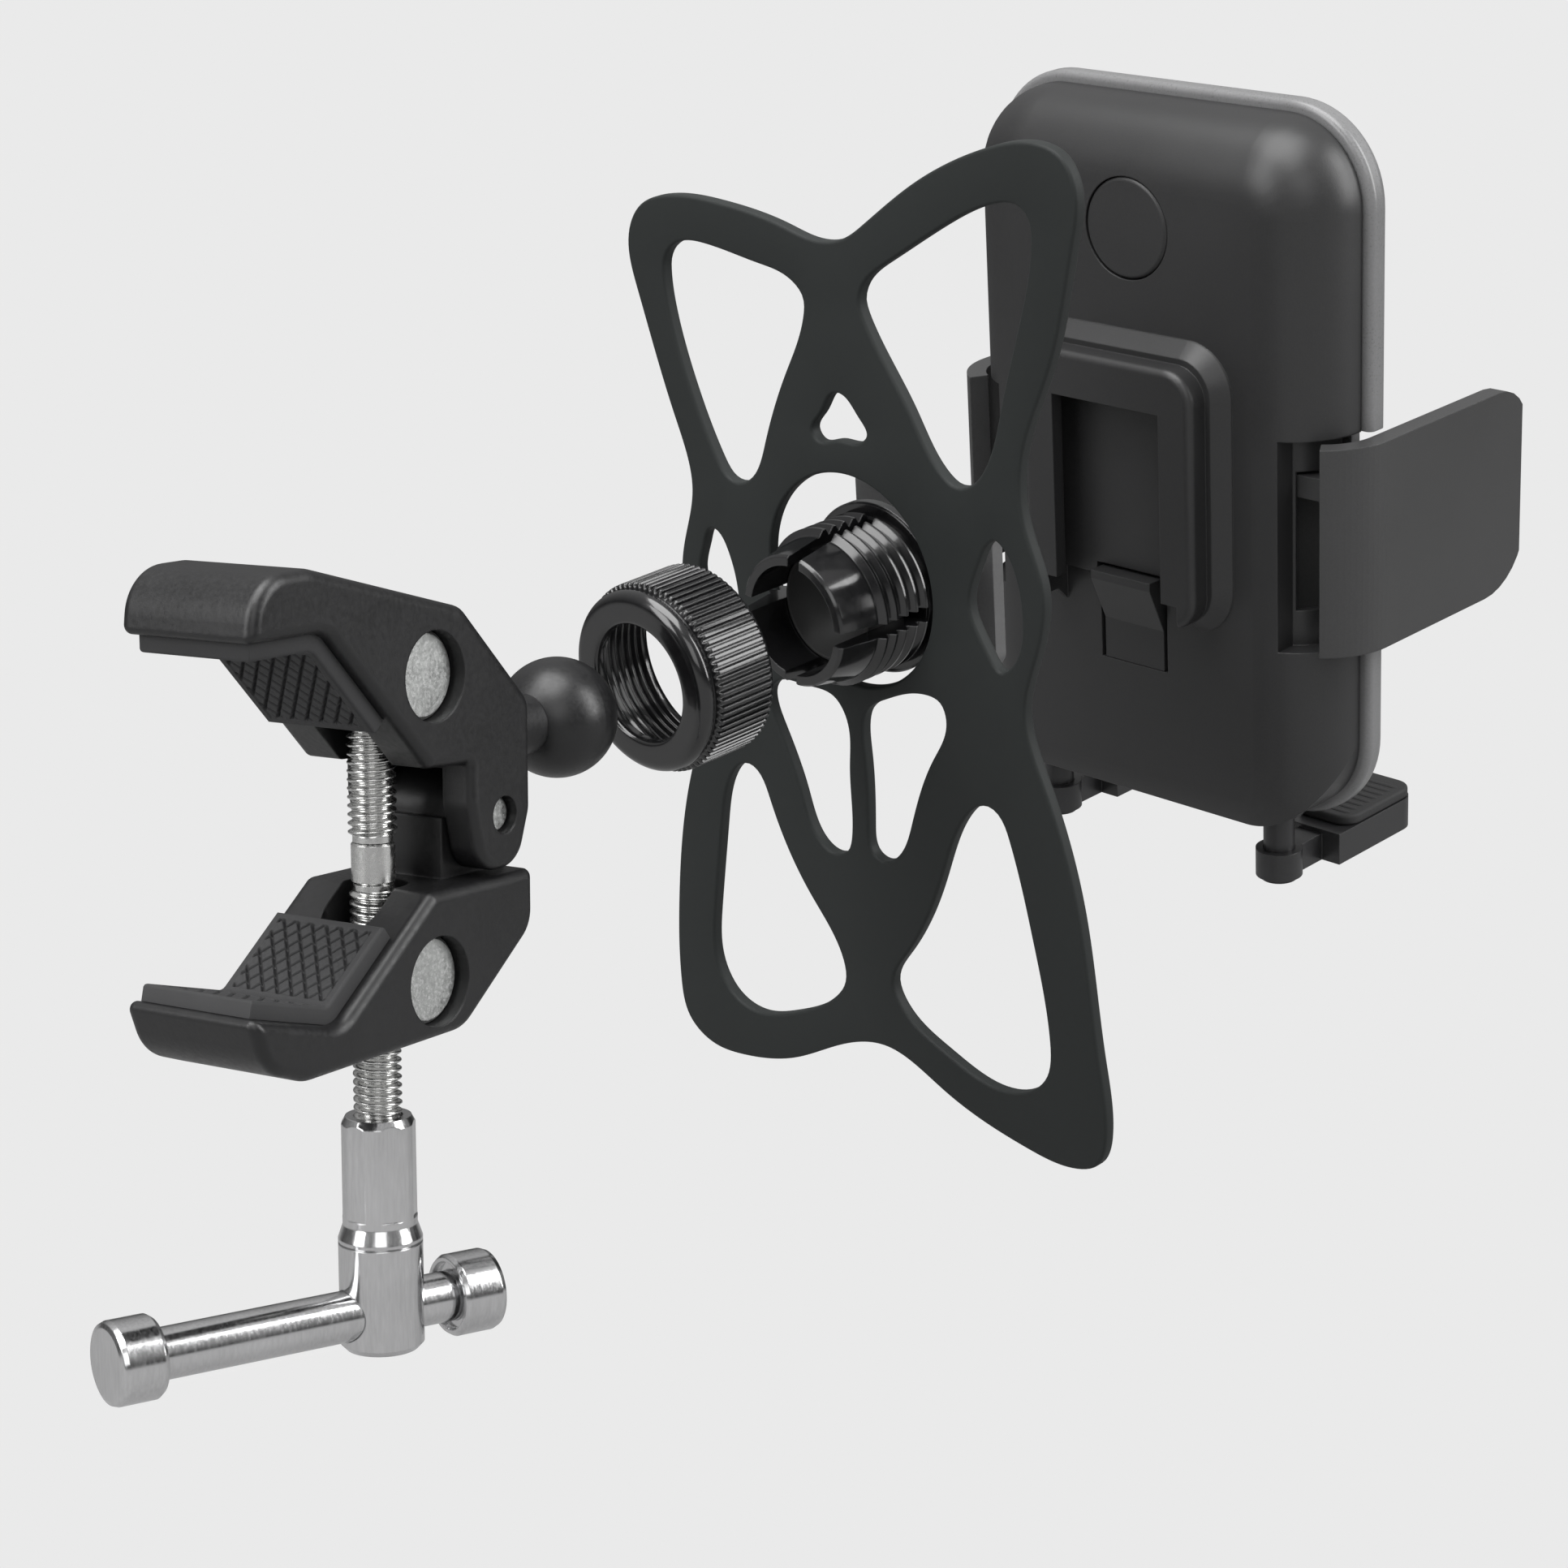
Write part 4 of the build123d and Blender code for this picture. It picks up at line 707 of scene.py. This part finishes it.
# ---------------------------------------------------------------------- cradle soft pads
CRADLE_HALF, CRADLE_TOP, CRADLE_BOTTOM, CRADLE_FACE = 36.5, 61.0, -55.0, 23.6
REST_INSET = 6.2
ARM_OPEN, ARM_T, ARM_END, ARM_LO, ARM_HI = 5.5, 3.3, 57.0, -23.0, 11.5
ARM_LO_CORNER, ARM_HI_CORNER, ARM_PAD_INSET = 11.0, 8.0, 1.2
FOOT_X, FOOT_PAD_HALF = 24.0, 5.9
FOOT_PAD_Y0, FOOT_PAD_Y1 = 14.0 + 11.4, 14.0 + 30.4


def ribbed_pad(name, loop, y0, thickness, rib_spec, body, node, to_world):
    """Soft sheet with a row of ribs along x on its high-y face."""
    pad = sheet(name, loop, [], y0, thickness, rim=0.5, segments=4, material="soft_pad",
                to_world=to_world)
    rib_y = y0 + thickness + 0.01
    x0, x1 = rib_spec["x_range"]
    verts, faces = join_parts([
        rib(x0, x1, z, rib_spec["half_width"], rib_y, rib_spec["height"], rib_spec["n"])
        for z in rib_spec["places"]])
    ribs = make_object(name + "_ribs", to_world(verts), faces, "soft_pad", sharp=60)
    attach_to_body(ribs, body)
    attach(pad, body, node)


def rest_pad():
    half = CRADLE_HALF - REST_INSET
    z0, z1 = CRADLE_BOTTOM + REST_INSET, CRADLE_TOP - REST_INSET
    rib_spec = dict(x_range=(-half + 4.0, half - 4.0), half_width=0.9, height=0.45, n=7,
                    places=np.arange(z0 + 8.0, z1 - 7.0, 4.2))
    ribbed_pad("rest_pad", rounded_rect(-half, half, z0, z1, 7.8), CRADLE_FACE - 0.76, 1.5,
               rib_spec, "cradle", "front_pad", cradle_to_world)


def arm_pad(side, name, body, node):
    """Wedge lining on the inside of an arm, ribbed across; side is the sign of its x."""
    lip_y, tip_y, end_y = ARM_END - 7.0, ARM_END - 3.4, ARM_END - 1.7
    y, share = np.meshgrid(np.linspace(25.7, end_y, 130), np.linspace(0.0, 1.0, 40),
                           indexing="ij")

    def corner_inset(corner):
        """The pad's free corner stays inside the rounded corner of the arm."""
        r = corner - ARM_PAD_INSET
        reach = np.clip(y - (ARM_END - corner), 0, r - 0.01)
        return corner - np.sqrt(np.clip(r ** 2 - reach ** 2, 0, None))

    z_lo = ARM_LO + np.maximum(2.1, corner_inset(ARM_LO_CORNER))
    z_hi = ARM_HI - np.maximum(1.3, corner_inset(ARM_HI_CORNER))
    z = z_lo + (z_hi - z_lo) * share
    # even body, a rise towards the tip, then a fall to a thin edge
    body_t, rise, fall = 2.35, 1.0, 3.0
    thick = np.where(y < lip_y, body_t, np.where(
        y < tip_y, body_t + (y - lip_y) / (tip_y - lip_y) * rise,
        body_t + rise - (y - tip_y) / (end_y - tip_y) * fall))
    phase = ((y - 26.0) / 1.4) % 1.0
    groove = np.where(np.abs(phase - 0.5) > 0.32, 0.30, 0.0) * (y < lip_y)
    to_edge = np.minimum(np.minimum(y - y[0, 0], y[-1, 0] - y), np.minimum(z - z_lo, z_hi - z))
    thick = np.clip((thick - groove) * (0.35 + 0.65 * quarter_round(to_edge / 0.6)), 0.15, 4)
    seat = ARM_OPEN + CRADLE_HALF - ARM_T - 0.05
    top = np.stack([side * (seat - thick), y, z], -1)
    bottom = np.stack([np.full_like(y, side * seat), y, z], -1)
    verts, faces = slab_mesh(top, bottom)
    obj = make_object(name, cradle_to_world(verts), faces, "pad_grey", sharp=50)
    attach(obj, body, node)


def foot_to_world(points):
    """Swap y and z, so that a sheet's thickness runs up the cradle."""
    return cradle_to_world(np.asarray(points, float)[:, [0, 2, 1]])


def foot_pad(side, name, body, node):
    x = side * FOOT_X
    loop = rounded_rect(x - FOOT_PAD_HALF, x + FOOT_PAD_HALF,
                        FOOT_PAD_Y0 + 0.05, FOOT_PAD_Y1 - 0.05, 3.2)
    rib_spec = dict(x_range=(x - 4.6, x + 4.6), half_width=0.55, height=0.14, n=5,
                    places=np.arange(FOOT_PAD_Y0 + 2.2, FOOT_PAD_Y1 - 2.0, 1.9))
    ribbed_pad(name, loop, -60.36, 1.8, rib_spec, body, node, foot_to_world)


rest_pad()
arm_pad(+1, "ribbed_lining_right", "arm_right", "right_arm_pad")
arm_pad(-1, "ribbed_lining_left", "arm_left", "left_arm_pad")
foot_pad(-1, "foot_lining_left", "foot_left", "left_foot_cover")
foot_pad(+1, "foot_lining_right", "foot_right", "right_foot_cover")

# ------------------------------------------------------------------------------- camera
AZIMUTH, ELEVATION = math.radians(33.514), math.radians(9.327)
TO_CAMERA = Vector((math.sin(AZIMUTH) * math.cos(ELEVATION),
                    -math.cos(AZIMUTH) * math.cos(ELEVATION), math.sin(ELEVATION)))
CAMERA_RIGHT = Vector((math.cos(AZIMUTH), math.sin(AZIMUTH), 0))
UP = Vector((0, 0, 1))


def add_camera():
    data = bpy.data.cameras.new("cam")
    data.lens, data.sensor_width = 80.0, 36.0
    data.clip_start, data.clip_end = 0.01, 50.0
    cam = bpy.data.objects.new("cam", data)
    cam.location = (0.29275, -0.38458, 0.06975)
    cam.rotation_mode = "QUATERNION"
    cam.rotation_quaternion = (-TO_CAMERA).to_track_quat("-Z", "Y")
    bpy.context.scene.collection.objects.link(cam)
    bpy.context.scene.camera = cam


add_camera()

# ------------------------------------------------------------------------ stage and light
BACKDROP = (0.823, 0.823, 0.823, 1)
FLOOR_DROP, FLOOR_HALF = 0.045, 6.0         # m
LIGHT_TARGET = Vector((0.0, 0.03, 0.0))


def studio_world():
    """Plain backdrop for the camera, a grey gradient that brightens upwards for other rays."""
    world = bpy.data.worlds.new("studio")
    world.use_nodes = True
    tree = world.node_tree
    tree.nodes.clear()
    output = tree.nodes.new("ShaderNodeOutputWorld")
    backdrop = tree.nodes.new("ShaderNodeBackground")
    backdrop.inputs[0].default_value = BACKDROP
    gradient = tree.nodes.new("ShaderNodeBackground")
    gradient.inputs[1].default_value = 0.62
    coords = tree.nodes.new("ShaderNodeTexCoord")
    split = tree.nodes.new("ShaderNodeSeparateXYZ")
    tree.links.new(coords.outputs["Generated"], split.inputs[0])
    ramp = tree.nodes.new("ShaderNodeValToRGB")
    stops = ramp.color_ramp.elements
    stops[0].position = 0.30
    stops[0].color = (0.10, 0.10, 0.10, 1)
    stops[1].position = 0.95
    stops[1].color = (0.95, 0.95, 0.95, 1)
    stops.new(0.52).color = (0.12, 0.12, 0.12, 1)
    height = remap(tree, split.outputs[2], source=(-1.0, 1.0), target=(0.0, 1.0))
    tree.links.new(height, ramp.inputs[0])
    tree.links.new(ramp.outputs[0], gradient.inputs[0])
    light_path = tree.nodes.new("ShaderNodeLightPath")
    mix = tree.nodes.new("ShaderNodeMixShader")
    tree.links.new(light_path.outputs["Is Camera Ray"], mix.inputs[0])
    tree.links.new(gradient.outputs[0], mix.inputs[1])
    tree.links.new(backdrop.outputs[0], mix.inputs[2])
    tree.links.new(mix.outputs[0], output.inputs[0])
    bpy.context.scene.world = world


def floor_material():
    """The camera sees the backdrop's tone; other rays meet a darker grey floor."""
    material, tree, shader, output = new_material("floor_pale")
    shader.inputs["Base Color"].default_value = (0.30, 0.30, 0.30, 1)
    shader.inputs["Roughness"].default_value = 0.9
    shader.inputs["Specular IOR Level"].default_value = 0.0
    glow = tree.nodes.new("ShaderNodeEmission")
    glow.inputs[0].default_value = BACKDROP
    light_path = tree.nodes.new("ShaderNodeLightPath")
    mix = tree.nodes.new("ShaderNodeMixShader")
    seen = math_node(tree, "MULTIPLY", light_path.outputs["Is Camera Ray"], 1.0)
    tree.links.new(seen, mix.inputs[0])
    tree.links.new(shader.outputs[0], mix.inputs[1])
    tree.links.new(glow.outputs[0], mix.inputs[2])
    tree.links.new(mix.outputs[0], output.inputs[0])
    return material


def add_floor():
    mesh = bpy.data.meshes.new("floor")
    bm = bmesh.new()
    bmesh.ops.create_grid(bm, x_segments=24, y_segments=24, size=FLOOR_HALF)
    for v in bm.verts:
        v.co.z = CAD_LO.z - FLOOR_DROP
    bm.to_mesh(mesh)
    bm.free()
    floor = bpy.data.objects.new("floor", mesh)
    bpy.context.scene.collection.objects.link(floor)
    mesh.materials.append(floor_material())


def area_light(name, right, up, near, size, energy, size_y=None):
    """Area light aimed at the target, offset from it along the camera's axes and up."""
    data = bpy.data.lights.new(name, "AREA")
    data.shape = "RECTANGLE"
    data.size = size
    data.size_y = size_y or size
    data.energy = energy
    light = bpy.data.objects.new(name, data)
    light.location = place = LIGHT_TARGET + CAMERA_RIGHT * right + UP * up + TO_CAMERA * near
    light.rotation_mode = "QUATERNION"
    light.rotation_quaternion = (LIGHT_TARGET - place).to_track_quat("-Z", "Y")
    bpy.context.scene.collection.objects.link(light)


studio_world()
bpy.context.scene.view_settings.view_transform = "Standard"
bpy.context.scene.view_settings.look = "None"
add_floor()
area_light("key_top", right=-0.15, up=0.75, near=0.25, size=0.7, energy=9.0)
area_light("key_left", right=-0.75, up=0.30, near=0.55, size=0.45, size_y=0.7, energy=5.0)
area_light("rim_right", right=0.75, up=0.35, near=0.15, size=0.35, size_y=0.7, energy=5.0)
area_light("front_fill", right=0.10, up=0.20, near=1.1, size=0.6, energy=2.0)
